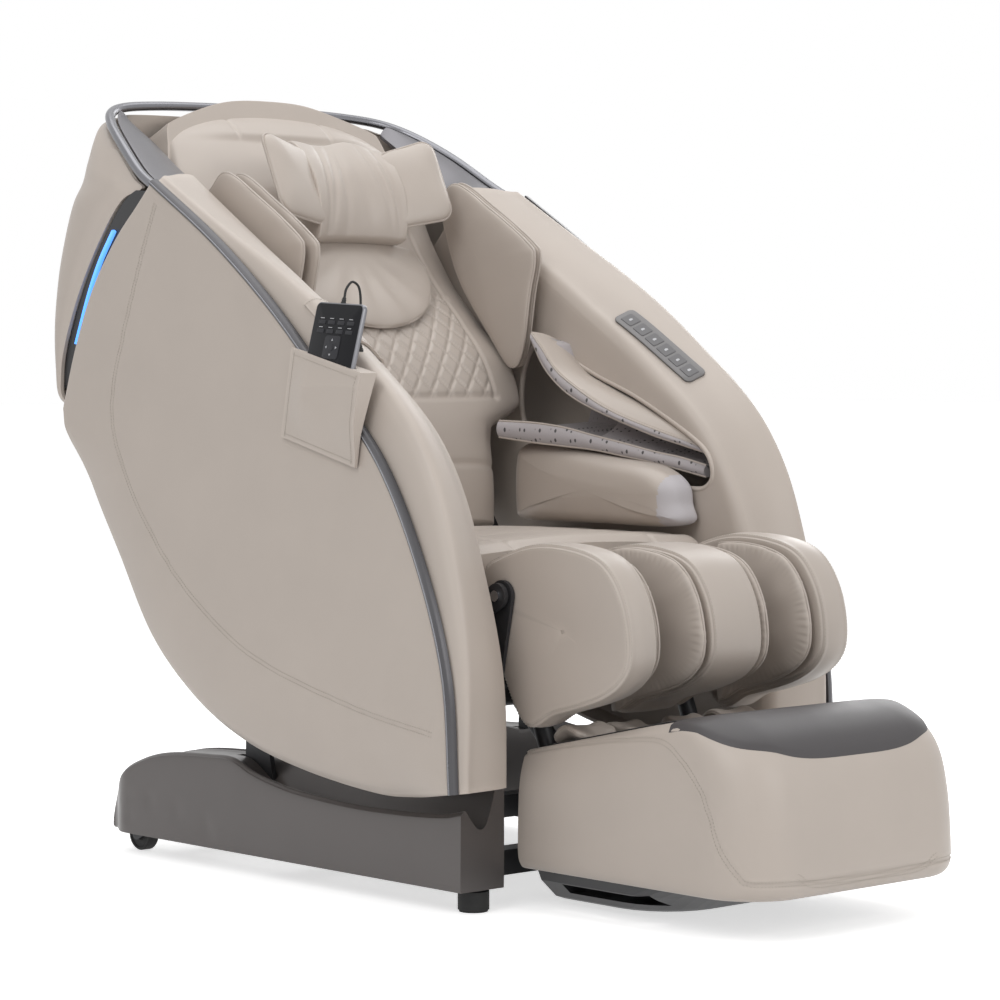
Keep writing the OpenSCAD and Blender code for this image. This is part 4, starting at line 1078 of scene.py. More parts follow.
# %% [markdown]
# ## Forearm jaws
# Inside each arm the forearm lies between two soft jaws of punched fabric, an upper and a lower one,
# joined at the back by loose fabric. They are bags of air with rolled lips and a piped edge. Cloth
# simulation could inflate them, but sections from lip to back wall, with a sag and small ripples, give
# the same look and keep the opening free.

# %% Lines of the jaws
LIP_LOW = [[163, 222, 681], [183, 159, 678], [200, 108, 671], [216, 58, 659], [232, 9, 648],
           [248, -40, 636], [263, -87, 627], [277, -126, 616]]
LIP_LOW_UNDER = [[163, 222, 655], [183, 159, 647], [200, 108, 642], [216, 58, 637], [232, 9, 628],
                 [248, -40, 619], [263, -87, 608], [277, -126, 598]]
LIP_UP = [[181, 167, 820], [187, 148, 795], [195, 124, 761], [206, 90, 734], [218, 51, 709],
          [231, 12, 690], [248, -40, 671], [264, -92, 654], [277, -126, 641]]
LIP_UP_UNDER = [[183, 165, 804], [188, 146, 768], [196, 120, 738], [206, 90, 716], [218, 51, 697],
                [231, 12, 681], [248, -40, 661], [262, -84, 648], [275, -124, 636]]
LIP_BACK = [[270, 200, 806], [270, 172, 788], [270, 125, 750], [270, 90, 735], [270, 53, 722],
            [270, 2, 703], [272, -60, 675], [275, -104, 656], [284, -124, 643]]
JAW_DEEP = 358
UP = np.array([[0, 0, 1]])
lip_t = np.linspace(0, 1, 100)
low_top, low_under, up_top, up_under, up_back = (
    on(k, lip_t) for k in (LIP_LOW, LIP_LOW_UNDER, LIP_UP, LIP_UP_UNDER, LIP_BACK))
print("lower lip:", round(length(low_top)), "mm long")


# %% Upper and lower jaw
def rolled(a, b, swelling, n=9):
    """Points round the soft lip from its upper edge a to its lower edge b."""
    k = np.linspace(0, 1, n)[:, None]
    p = mix(a, b, k)
    p[:, 0] -= swelling * np.sin(math.pi * k[:, 0]) ** 0.7
    return p


JAW_SAG, JAW_RIPPLE, JAW_RIPPLES, LOW_ROLL, UP_ROLL = 9, 1.1, 190, 6, 4
inward = np.linspace(0.04, 1, 26)[:, None]
low_rings, up_rings = [], []
for u, a, b, c, d, e in zip(lip_t, low_top, low_under, up_top, up_under, up_back):
    ripple = JAW_RIPPLE * math.sin(u * JAW_RIPPLES) * bump(inward) ** 0.5
    sag = UP * (-JAW_SAG * bump(inward ** 0.6) + ripple)
    inner = mix(a, [JAW_DEEP, a[1], a[2] - 4], inward) + sag
    under = mix(b, [JAW_DEEP - 3, b[1], b[2] - 3], inward[::-1])
    low_rings.append(np.concatenate([rolled(b, a, LOW_ROLL)[:-1], [a], inner, under]))
    inner = mix(d, [JAW_DEEP - 2, d[1], d[2] - 2], inward)
    roof = mix(e, [JAW_DEEP - 2, e[1], e[2] + 3], inward[::-1])
    up_rings.append(np.concatenate([rolled(c, d, UP_ROLL), inner, roof, mix(c, e, inward[::-1])]))
print("jaws:", len(low_rings), "sections each")

# %% Loose fabric between the jaws
WEB_BACK, WEB_THICK, WEB_BULGE, WEB_RIPPLE, WEB_RIPPLES = 350.0, 3, 62, 1.4, 210
web = []
for v in np.linspace(0.02, 0.99, 90):
    a, b = on(LIP_LOW, v)[0], on(LIP_UP_UNDER, v)[0]
    k = np.linspace(0, 1, 30)
    near = mix(a[0], b[0], k) + 16 + WEB_BULGE * np.sin(math.pi * k) ** 0.8
    x = mix(np.full(30, WEB_BACK), near, float(smooth((112 - a[1]) / 46)))
    x = np.minimum(x, WEB_BACK + 1) + WEB_RIPPLE * math.sin(v * WEB_RIPPLES) * np.sin(math.pi * k)
    web.append(np.column_stack([x, mix(a[1], b[1], k), mix(a[2] - 8, b[2] + 3, k)]))
web = np.array(web)
web = slab(web, web + [WEB_THICK, 0, 0])
lower, upper = loft(low_rings), loft(up_rings)
put("forearm_jaws", *join(lower, mirrored(lower), upper, mirrored(upper), web, mirrored(web)),
    "seat", "mesh_fabric", "forearm_pads", sharp=60)

# %% Leather tops of the upper jaws, and the piping along the lips
LIP_PIPING = 1.7
across = np.linspace(0, 1, 16)


def jaw_top(h):
    """Leather from the lip to the arm's inner wall, h above the jaw."""
    rows = []
    for u, c, e in zip(lip_t, up_top, up_back):
        full = UP * (9 * bump(across) * bump(0.1 + 0.9 * u))[:, None]
        rows.append(mix(c + [1.2, 0, h], e + [6, 0, h], across[:, None]) + full)
    return np.array(rows)


put("jaw_tops", *pair(slab(jaw_top(2.6), jaw_top(-1.5))), "seat", "cushion_leather", sharp=60)
for label, line in (("low", low_top), ("low_under", low_under), ("up", up_top), ("up_under", up_under)):
    for k, one in enumerate((line, flip(line))):
        put(f"jaw_piping_{label}_{k}", *pipe(even(one, 5), LIP_PIPING, up=(0, 0, 1), n=8), "seat",
            "cushion_leather", mats=["piping"])

# %% [markdown]
# ## Back cushion
# The back is one tall leather cushion: diamond quilting in the middle between two sewn lines, one more
# line below them, and plain leather towards the shoulders. Quilting could be a height map, but real
# displacement of a dense grid catches the light at its edges and stays true from close by.

# %% Outline and depth of the back cushion
DEPTH = [[40, 8], [70, 80], [95, 170], [97, 260], [78, 340], [44, 430], [26, 520], [20, 600],
         [4, 680], [-22, 745], [-44, 782]]
LINE_LOW, QUILT_LOW, QUILT_HIGH, QUILT_HALF = 92, 196, 392, 176
BACK_NARROW, BACK_WIDE, WAIST_Z, NECK_Z, CREST_Z = 184, 252, 150, 600, 700
CORNER_DROP, NECK_IN, CREST_IN, SIDE_HUG, SIDE_ROLL = 52, 30, 44, 22, 26
rise, side = np.meshgrid(np.linspace(0, 1, 230), np.linspace(-1, 1, 190), indexing="ij")
middle_line = on(DEPTH, rise[:, 0])
z = np.broadcast_to(middle_line[:, 1:2], rise.shape)
z = z - CORNER_DROP * smooth((rise - 0.8) / 0.2) * np.abs(side) ** 3
half = mix(BACK_NARROW, BACK_WIDE, smooth((z - WAIST_Z) / 40)) - NECK_IN * smooth((z - NECK_Z) / 150)
half = half - CREST_IN * smooth((z - CREST_Z) / 82) ** 2
depth = middle_line[:, :1] + SIDE_HUG * side ** 4 * bump((z - 130) / 200) - SIDE_ROLL * side ** 6
x = side * half
print("back cushion:", round(float(np.ptp(z))), "mm high and", round(float(np.ptp(x))), "mm wide")

# %% Quilting, borders and sewn lines of the back cushion
DIAMOND, GROOVE_SHARE, GROOVE_DEEP, QUILT_FULL = 46.0, 0.075, 4.2, 1.5
BORDER_DEEP, LINE_DEEP, CREST_FULL, CREST_LINE_X, CREST_LINE_DEEP = 3, 3, 7, 96, 2.4
quilted = smooth((z - QUILT_LOW) / 10) * (1 - smooth((z - QUILT_HIGH) / 10))
quilted = quilted * (1 - smooth((np.abs(x) - QUILT_HALF) / 8))
slant, counter = (np.abs(((x / 0.8 + z * way) / DIAMOND) % 1 - 0.5) for way in (1, -1))
groove = np.exp(-((0.5 - np.maximum(slant, counter)) / GROOVE_SHARE) ** 2)
border = np.exp(-(np.abs(np.abs(x) - BACK_NARROW) / 4) ** 2) * smooth((z - 186) / 10)
border = border * (1 - smooth((z - 520) / 20))
crest = smooth((z - 690) / 20)
creases = crest * np.exp(-((np.abs(x) - CREST_LINE_X) / 4) ** 2)
depth = depth + CREST_FULL * crest * (1 - (np.abs(side) * 1.1) ** 2) - CREST_LINE_DEEP * creases
sewn_lines = np.exp(-((z - QUILT_HIGH) / 4.5) ** 2) + np.exp(-((z - QUILT_LOW) / 4.5) ** 2) \
    + np.exp(-((z - LINE_LOW) / 5) ** 2)
depth = depth - quilted * (GROOVE_DEEP * groove) + quilted * QUILT_FULL - BORDER_DEEP * border \
    - LINE_DEEP * np.clip(sewn_lines, 0, 1) * (1 - smooth((np.abs(x) - 190) / 8))
print("quilting covers", round(float(quilted.mean()), 2), "of the cushion")

# %% Skin of the back cushion
TOP_ROUND, TOP_ROUND_Z, TOP_ROUND_RADIUS, EDGE_ROUND, REAR_FACE = 46, 716, 66, 20, 22
top_round = TOP_ROUND * (1 - np.sqrt(1 - np.clip((z - TOP_ROUND_Z) / TOP_ROUND_RADIUS, 0, 1) ** 2))
edge_round = EDGE_ROUND * (1 - smooth((1 - np.abs(side)) / 0.06)) ** 2
edge_round = edge_round + top_round * (1 - 0.35 * np.cos(side * 2.2) ** 2)
front = np.stack([x, -(depth - edge_round), z], -1)
back_y = np.minimum(REAR_FACE, 40 - np.broadcast_to(middle_line[:, :1], z.shape) * 0.6)
behind = np.stack([x * 0.985, back_y, z], -1)
back_pad = put("back_cushion_pad", *slab(to_world(front), to_world(behind)), "back",
               "cushion_leather", "back_cushion", sharp=70)
rumple(back_pad, 0.9, 0.12, 5)

# %% [markdown]
# ## Head pillow
# The pillow is a folded middle with a stuffed, piped wing at each side. Real ones hang by a flap and
# sag as they like. A cloth simulation would fold it too, but nobody can say where. Here the folds are a
# few dips with a place, a slope and a width of their own, so each can be set.

# %% Folded middle of the pillow
MIDDLE_HALF, MIDDLE_LOW, MIDDLE_HIGH = 94, 470, 646
MIDDLE_Y, MIDDLE_FULL, MIDDLE_REAR_Y, MIDDLE_SAG = -82, 56, -56.0, 7
FOLDS = [(-0.62, 0.3, 0.05, 5), (-0.45, 0.5, 0.07, 4), (-0.2, 0.24, 0.09, 3),
         (0.18, -0.2, 0.12, 2.4), (0.55, -0.3, 0.07, 3), (0.75, -0.12, 0.05, 4)]
across, up = np.meshgrid(np.linspace(-1, 1, 150), np.linspace(0, 1, 110))
folds = 0
for centre, slope, width, dip in FOLDS:
    folds = folds - dip * np.exp(-((across - centre - slope * (up - 0.5)) / width) ** 2) * bump(up) ** 0.6
x = MIDDLE_HALF * across
z = mix(MIDDLE_LOW, MIDDLE_HIGH, up) - MIDDLE_SAG * across ** 2 + 5 * np.sin(across * 5) * up
fullness = bump(0.04 + 0.92 * up) ** 0.55 * (0.72 + 0.28 * np.abs(across) ** 1.5)
y = MIDDLE_Y - MIDDLE_FULL * fullness - folds
rear = np.stack([x * 0.97, np.full(up.shape, MIDDLE_REAR_Y), mix(MIDDLE_LOW + 8, MIDDLE_HIGH - 6, up)], -1)
middle = slab(to_world(np.stack([x, y, z], -1)), to_world(rear))
print("pillow middle:", round(float(np.ptp(z))), "mm high,", len(FOLDS), "folds")

# %% Wings of the pillow
WING_HALF, WING_PLACE, WING_LEAN = (56, 68, 24), (122.0, -124, 558.0), math.radians(14)
WING_FULL_REAR, WING_FULL_FRONT, WING_PIPING = 15, 9, 2.0
wing_ring = dense(rounded_rect(*WING_HALF))


def on_wing(p):
    """From the wing's own outline to the chair, with the wing turned to the head."""
    a, b, c = p[:, 0], p[:, 1], p[:, 2]
    return to_world(np.stack([WING_PLACE[0] + a * math.cos(WING_LEAN) + c * math.sin(WING_LEAN),
                              WING_PLACE[1] - a * math.sin(WING_LEAN) + c * math.cos(WING_LEAN),
                              WING_PLACE[2] + b + 0.12 * a * (b > 0) + 0.08 * a], -1))


wing = pillow(wing_ring, WING_FULL_REAR, WING_FULL_FRONT, on_wing)
head_pillow = put("head_pillow_pad", *join(middle, pair(wing)), "back", "cushion_leather",
                  "head_pillow", sharp=70)
relax(head_pillow, 14)
rumple(head_pillow, 0.9, 0.07, 7)
wing_edge = on_wing(level(wing_ring, 0))
for k, edge in enumerate((wing_edge, flip(wing_edge))):
    piping(f"wing_piping_{k}", edge, WING_PIPING, "back", up=(0, 1, 0))

# %% [markdown]
# ## Neck flap
# Under the pillow hangs a half-round flap whose soft ribs spread like a fan. Each rib could be a tube of
# its own, but they are sewn from one leather. So it is a thin stuffed pad, and its ribs are a wave that
# runs round the fan's centre and fades near it.

# %% Neck flap
FAN_HALF, FAN_DROP, FAN_MIDDLE, FAN_CENTRE, FAN_RIBS = 150, 120, 440, 480, 14
FAN_HEAD = [[-130, 470], [-60, 484], [60, 484], [130, 470]]
FAN_Y, FAN_LEAN, RIB_HIGH, FAN_FULL_REAR, FAN_FULL_FRONT, FAN_PIPING = -66, 26, 1.6, 14, 6, 1.8
fan_ring = [[FAN_HALF * math.cos(a), FAN_MIDDLE - FAN_DROP * math.sin(a)]
            for a in np.linspace(0, math.pi, 50)]
fan_ring = dense(fan_ring + FAN_HEAD)


def on_fan(p):
    """From the flap's outline to the chair, with the ribs on its front."""
    x, z, c = p[:, 0], p[:, 1], p[:, 2]
    base = FAN_Y - FAN_LEAN * smooth((FAN_MIDDLE - z) / 130)
    r, a = np.hypot(x, FAN_CENTRE - z), np.arctan2(x, FAN_CENTRE - z)
    rib = RIB_HIGH * np.cos(a * FAN_RIBS) * smooth((r - 40) / 60) * (c < 0)
    return to_world(np.stack([x, base + c + rib, z], -1))


neck_flap = put("neck_flap_pad", *pillow(fan_ring, FAN_FULL_REAR, FAN_FULL_FRONT, on_fan), "back",
                "cushion_leather", "neck_flap", sharp=70)
piping("neck_flap_piping", on_fan(level(fan_ring, 0)), FAN_PIPING, "back", up=(0, 1, 0))

# %% [markdown]
# ## Shoulder pads
# Two airbag pads on each side hold the shoulders, in two layers. Both share one outline, which is drawn
# once in the back's side view; the outer pad is moved a little up and to the rear, so that both edges
# show. Two outlines of their own would be truer to hand-made pads, but would show no more.

# %% Shoulder pads
SHOULDER = [[-70, 560], [-120, 566], [-176, 494], [-234, 404], [-238, 374], [-202, 326],
            [-148, 250], [-114, 242], [-92, 306], [-62, 430], [-70, 560]]
SHOULDER_MIDDLE, SHOULDER_PIPING = (-130, 420), 2.3
SHOULDER_LAYERS = [(222, (0, 0), 10), (243, (8, 6), 9)]
shoulder_ring = dense(on(SHOULDER, np.linspace(0, 1, 120, endpoint=False)))


def standing(x, on_chair):
    """Maps a pad's own outline to an upright pad at x."""
    return lambda p: on_chair(np.stack([x + p[:, 2], p[:, 0], p[:, 1]], -1))


for k, (x, shift, full) in enumerate(SHOULDER_LAYERS):
    ring, place = shoulder_ring + np.array(shift), standing(x, to_world)
    pads = put(f"shoulder_pad_{k}", *pair(pillow(ring, full, full, place, centre=SHOULDER_MIDDLE)),
               "back", "cushion_leather", *(["shoulder_pads"] if k == 0 else []), sharp=70)
    rumple(pads, 0.8, 0.06, 11 + k)
    for s, turn in enumerate((same, flip)):
        piping(f"shoulder_piping_{k}_{s}", turn(place(level(ring, 0))), SHOULDER_PIPING, "back")

# %% [markdown]
# ## Calf rest
# The calf rest is three boxy leather walls on a board, with a pair of airbags in each of the two wells
# between them. A cube with a bevel could stand in for a wall, but its outline in the side view is
# curved all round, so each wall is that outline, swelling a little between two sewn edges.

# %% A boxy leather wall
CALF = [[-162, 430], [-166, 478], [-200, 500], [-275, 520], [-358, 517], [-416, 497],
        [-452, 450], [-466, 390], [-456, 346], [-410, 312], [-318, 284], [-244, 270]]
CALF_MIDDLE = np.array([-330.0, 400.0])
calf_ring = even(on(CALF + [CALF[0]], np.linspace(0, 1, 240)), 5)[:-1]
DEEPEST = 22


def wall_pad(ring, x0, x1, soft=9.0):
    """Block on a side-view outline whose two faces swell and whose corners are round."""
    face = [tuple(row) for row in on(
        [[x0 + 5, 60, 0.97], [x0 + 1.5, 45, 0.4], [x0, 20, 0], [x0 + 1.2, 6, 0],
         [x0 + 5, 1.2, 0], [x0 + soft + 3, 0, 0]], np.linspace(0, 1, 34))]
    between = [(mix(x0 + soft + 3, x1 - soft - 3, k), -1.5 * math.sin(math.pi * k), 0)
               for k in np.linspace(0, 1, 12)[1:-1]]
    far_face = [(x0 + x1 - x, d, s) for x, d, s in face[::-1]]
    rings = []
    for x, d, s in face + between + far_face:
        share = min(max(s, 0) + max(d - DEEPEST, 0) / 150, 0.97)
        rings.append(with_x(mix(inset(ring, min(d, DEEPEST)), CALF_MIDDLE, share), x))
    return loft(rings)


print("calf wall outline:", round(length(calf_ring)), "mm")

# %% Walls of the calf rest and the board behind them
OUTER_WALL, MIDDLE_WALL = (168, 225), (-51, 51)
BOARD_HALF, BOARD_THICK = 205, 26
BOARD = ((-234, 300), (-222, 400), (-206, 440), (-214, 470))
outer_wall = wall_pad(calf_ring, *OUTER_WALL)
middle_ring = mix(calf_ring, CALF_MIDDLE, 0.06)
walls = put("calf_walls", *join(outer_wall, mirrored(outer_wall), wall_pad(middle_ring, *MIDDLE_WALL, 7)),
            "leg", "cushion_leather", "calf_cushion", sharp=70)
board = np.array([[[x, y, z] for y, z in BOARD] for x in (-BOARD_HALF, BOARD_HALF)], float)
put("calf_board", *slab(board, board - [0, BOARD_THICK, 0]), "leg", "black_plastic",
    mats=["black_leather"])

# %% Seams of the calf rest
CALF_SEAM, CALF_STITCH_OFF = (1.5, 2.0, 0.5), 3.6
OUTER_SEAMS_X, MIDDLE_SEAMS_X = (170.5, 222.5), (-48.5, 48.5)
calf_lines = []
for x in OUTER_SEAMS_X:
    line = with_x(inset(calf_ring, 3.2), x) / 1000
    calf_lines += [line, flip(line)]
for x in MIDDLE_SEAMS_X:
    calf_lines.append(with_x(inset(middle_ring, 2.6), x) / 1000)
calf_lines = [np.concatenate([line, line[:1]]) for line in calf_lines]
seam(walls, calf_lines, *CALF_SEAM)
for line in calf_lines:
    twin_stitches(walls, line, CALF_STITCH_OFF, "leg")
print("calf seams:", len(calf_lines))

# %% [markdown]
# ## Calf airbags
# Four soft bags lie along the walls and press the calves. Each is sewn all round, and its leather
# gathers into short puckers beside the piping. Sculpted puckers would differ from bag to bag, but they
# would be slow to do. A wave round the bag that is strong only near the edge looks much the same.

# %% Calf airbags
BAG_PLACES, BAG_MIDDLE, BAG_FULL, BAG_REAR, BAG_PIPING = (64.5, 155.0), (-345, 400), 11, -270, 2.0
PUCKER, PUCKERS, PUCKER_BAND, PUCKER_WIDE = 0.9, 64, 0.010, 0.008
bag_ring = mix(calf_ring, CALF_MIDDLE, 0.1)
bag_ring = dense(np.column_stack([np.minimum(bag_ring[:, 0], BAG_REAR), bag_ring[:, 1]]), 4)
for k, x in enumerate(BAG_PLACES):
    place = standing(x, same)
    bags = put(f"calf_airbag_pads_{k}",
               *pair(pillow(bag_ring, BAG_FULL, BAG_FULL, place, centre=BAG_MIDDLE, power=3.2)), "leg",
               "cushion_leather", *(["calf_airbags"] if k == 0 else []), sharp=70)
    edge = place(level(bag_ring, 0))
    v, n = coords(bags)
    d = distance_to(np.concatenate([edge, flip(edge)]) / 1000, v)
    a = np.arctan2(v[:, 2] - BAG_MIDDLE[1] / 1000, v[:, 1] - BAG_MIDDLE[0] / 1000)
    near = np.exp(-((d - PUCKER_BAND) / PUCKER_WIDE) ** 2) * (d > 0.002)
    swell(bags, v, n, PUCKER * np.sin(a * PUCKERS + 2 * np.sin(a * 5)) * near)
    rumple(bags, 1.2, 0.05, 21 + k)
    for s, turn in enumerate((same, flip)):
        piping(f"airbag_piping_{k}_{s}", turn(edge), BAG_PIPING, "leg")

# %% [markdown]
# ## Foot box
# The foot box is a leather tub with a round nose that climbs towards the toes. Its walls are outlines
# seen from above, one for each height, so that the nose can lean back and the bottom edge can roll
# in. The foot wells and the bay for the drive are cut out of it afterwards, as in the real shell.

# %% Outlines of the foot box
FOOT_TOP, FOOT_NOSE, FOOT_HEEL, FOOT_HALF, NOSE_RADIUS = 270, -700, -240, 223, 78
HEEL_TO_TOE = (-44, 31)
FOOT_LEVELS = [[58, 22, 0.94], [61, 9, 0.965], [70, 2, 0.99], [84, 0, 1], [110, 0, 1], [160, 5, 0.997],
               [205, 18, 0.99], [235, 42, 0.975], [256, 78, 0.95], [266, 112, 0.92],
               [FOOT_TOP, 150, 0.89]]


def foot_plan(nose, w):
    """The box from above: its nose, its half width and its two round corners."""
    r = NOSE_RADIUS
    straight = [[w, mix(FOOT_HEEL, nose + r, u)] for u in np.linspace(0, 0.97, 16)]
    corner = [[w - r + r * math.cos(t), nose + r - r * math.sin(t)]
              for t in np.linspace(0, math.pi / 2, 18)]
    half = np.array(straight + corner)
    return np.concatenate([half, half[::-1] * [-1, 1]])


def foot_rise(y, z):
    """The top of the box climbs from the heels to the toes."""
    return mix(*HEEL_TO_TOE, np.clip((FOOT_HEEL - y) / 340, 0, 1)) * smooth((z - 80) / 180)


def foot_rows(levels, w, steps, rear=999):
    """Rings at heights, each with its setback from the nose and its share of the width."""
    out = []
    for z, f, k in on(levels, np.linspace(0, 1, steps)):
        p = foot_plan(FOOT_NOSE + f, w * k)
        out.append(np.column_stack([p[:, 0], np.minimum(p[:, 1], rear), z + foot_rise(p[:, 1], z)]))
    return out


print("foot outline:", len(foot_plan(FOOT_NOSE, FOOT_HALF)), "points")

# %% Foot box with its hollow, its wells and its bay
HOLLOW_LEVELS = [[50, 24, 0.9], [110, 24, 0.92], [160, 34, 0.92], [205, 50, 0.9], [236, 84, 0.88]]
HOLLOW_REAR, WELL_X, WELL_Y, WELL_HALF, WELL_SPAN = -250, 111, -394, (85, 126, 26), (150.0, 330.0)
BAY_Y, BAY_HALF, BAY_SPAN = -265, (168, 35, 4), (50.0, 210.0)
foot = put("foot_box_skin", *loft(foot_rows(FOOT_LEVELS, FOOT_HALF, 76)), "foot", "shell_leather",
           "foot_shell", sharp=50)
carve(foot, *loft(foot_rows(HOLLOW_LEVELS, FOOT_HALF - 2, 5, rear=HOLLOW_REAR)))
for side in (1, -1):
    well = rounded_rect(*WELL_HALF) + [side * WELL_X, WELL_Y]
    carve(foot, *loft([level(well, z) for z in WELL_SPAN]))
bay = rounded_rect(*BAY_HALF) + [0, BAY_Y]
carve(foot, *loft([level(bay, z) for z in BAY_SPAN]))
print("foot box after cutting:", len(foot.data.polygons), "faces")

# %% Seams of the foot box, as the camera sees the one on the right side
FOOT_SEAM_PIXELS = [(519, 755), (569, 746), (625, 740), (662, 742), (683, 763), (700, 790),
                    (710, 818), (719, 849), (738, 877), (755, 885), (831, 881), (914, 870),
                    (936, 855)]
FOOT_SEAM = (1.3, 2.2, 0.5)
foot_seam = trace(foot, FOOT_SEAM_PIXELS)
foot_seams = [foot_seam, flip(foot_seam)]
seam(foot, foot_seams, *FOOT_SEAM)
for line in foot_seams:
    twin_stitches(foot, line, STITCH_OFF, "foot")
print("foot seam:", round(length(foot_seam), 2), "m")

# %% [markdown]
# ## Top of the foot box
# A dark plate covers the box's top in front of the wells, and each well has a lining with a bound edge.
# The plate must follow the leather under it exactly, so its points are dropped onto the finished skin
# by rays from above; a shrinkwrap would round its edge.

# %% Dark plate on the foot box
PANEL_HALF, PANEL_REAR, PANEL_REACH, PANEL_THICK = 212, -528, 148, 2.0


def on_foot(x, y, lift):
    """Points over the skin of the foot box at x, y, lifted off it."""
    out = []
    for a, b, c in zip(x.ravel(), y.ravel(), lift.ravel()):
        hit, p, n = foot.ray_cast(Vector((a, b, 400)) / 1000, Vector((0, 0, -1)))[:3]
        out.append((p + n * c / 1000) * 1000 if hit else (a, b, 0))
    return np.array(out).reshape(*x.shape, 3)


turned, out = np.meshgrid(np.linspace(0, math.pi, 120), np.linspace(0.02, 1, 40))
x = PANEL_HALF * out * np.sign(np.cos(turned)) * np.abs(np.cos(turned)) ** 0.5
y = PANEL_REAR - PANEL_REACH * out * np.sin(turned) ** 0.5
lift = 0.2 + PANEL_THICK * smooth((1 - out) / 0.03)
put("foot_top_panel", *slab(on_foot(x, y, lift), on_foot(x, y, lift * 0 - 1)),
    "foot", "dark_panel", "foot_panel", sharp=40)


# %% Linings of the foot wells
def foot_top_at(y):
    """Height of the box's top at y."""
    return FOOT_TOP + foot_rise(np.asarray(y, float), FOOT_TOP)


LINING_IN, LINING_OUT = (82, 122, 25), (84.5, 125, 27)
linings = []
for side in (1, -1):
    inside, outside = (np.array(on(r, np.linspace(0, 1, 90, endpoint=False))) + [side * WELL_X, WELL_Y]
                       for r in (rounded_rect(*LINING_IN), rounded_rect(*LINING_OUT)))
    steps = ((inside, 0), (outside, 1.5), (inside, 2.2), (inset(inside, 3), -6), (inset(inside, 6), -170))
    linings.append(loft([np.column_stack([r, foot_top_at(r[:, 1]) + h]) for r, h in steps], cap=False))
put("foot_well_lining", *join(*linings), "foot", "black_plastic", mats=["black_leather"])

# %% [markdown]
# Two small stuffed flaps curl over the heel end of each well. A bend modifier could curl them, but they
# are the same pads as before, so they are laid flat and bent by a low wave in one go, with their own
# thin piping.

# %% Flaps over the foot wells
FLAP_SPANS, FLAP_Y, FLAP_HALF_Y = ((28, 92), (112, 186)), -300, 30
FLAP_CORNER, FLAP_LIFT, FLAP_PIPING = 12, 3, 1.4


def lying(middle, k):
    """Maps a flap's own outline to a curled flap on the foot box."""
    def place(p):
        x, y, c = p[:, 0], p[:, 1], p[:, 2]
        curl = 6 * np.sin(y * 0.09 + k) + 0.009 * x ** 2
        height = foot_top_at(FLAP_Y + y) + FLAP_LIFT + np.maximum(c, -6) + curl
        return np.column_stack([middle + x, FLAP_Y + y, height])
    return place


for k, (a, b) in enumerate(FLAP_SPANS):
    ring, place = dense(rounded_rect((b - a) / 2, FLAP_HALF_Y, FLAP_CORNER)), lying((a + b) / 2, k)
    flap = put(f"foot_flap_{k}", *pair(pillow(ring, 6, 13, place)), "foot", "cushion_leather",
               *(["foot_pads"] if k == 0 else []), sharp=70)
    rumple(flap, 1.6, 0.04, 31 + k)
    edge = place(level(ring, 0))
    for s, turn in enumerate((same, flip)):
        piping(f"foot_flap_piping_{k}_{s}", turn(edge), FLAP_PIPING, "foot", up=(0, 0, 1))

# %% [markdown]
# ## Back cover
# The back of the chair is one leather cover that wraps round from side to side. A subdivided box could
# be pulled into this form by hand. Here each row runs from one side edge over the middle to the other,
# a power of the sine makes it boxy or round, and two lines steer it: its edge and its middle.

# %% Back cover
EDGE = [[256, 486, 470], [256, 548, 560], [256, 592, 640], [270, 606, 668], [334, 618, 692],
        [386, 632, 714], [388, 640, 752], [388, 627, 808], [386, 589, 889], [384, 537, 966],
        [382, 485, 1022], [378, 438, 1039], [369, 471, 1056], [349, 538, 1100], [326, 594, 1131],
        [298, 632, 1152], [254, 648, 1166]]
REAR = [[529, 470], [591, 560], [635, 640], [648, 668], [657, 692], [664, 714], [684, 780],
        [696, 850], [699, 915], [692, 975], [683, 1025], [675, 1060], [669, 1095], [664, 1125],
        [660, 1148], [657, 1159], [655, 1171]]
COVER_THICK = 6
edge_line, middle_line = (on(k, np.linspace(0, 1, 130)) for k in (EDGE, REAR))
over = np.linspace(-1, 1, 121)
turned = math.pi / 2 * (1 - np.abs(over))
boxy = 0.5 - 0.14 * bump((middle_line[:, 1:2] - 800) / 400)
to_middle, to_edge = np.sin(turned)[None, :] ** boxy, np.cos(turned)[None, :] ** boxy


def cover(d):
    """The cover's surface, d below the leather."""
    x = np.sign(over)[None, :] * (edge_line[:, :1] - d) * to_edge
    return np.stack([x, mix(edge_line[:, 1:2], middle_line[:, :1] - d, to_middle),
                     mix(edge_line[:, 2:3], middle_line[:, 1:2], to_middle)], -1)


put("back_cover", *slab(cover(0), cover(COVER_THICK)), "back", "shell_leather", "back_shell", sharp=50)

# %% [markdown]
# ## Top rail and caps
# A brushed tube runs round the head end, and two dark caps close the rear ends of the arms beside it.
# The caps could be boxes with a bevel, but here they start on the tube's own line, so that no gap can
# open between the two.

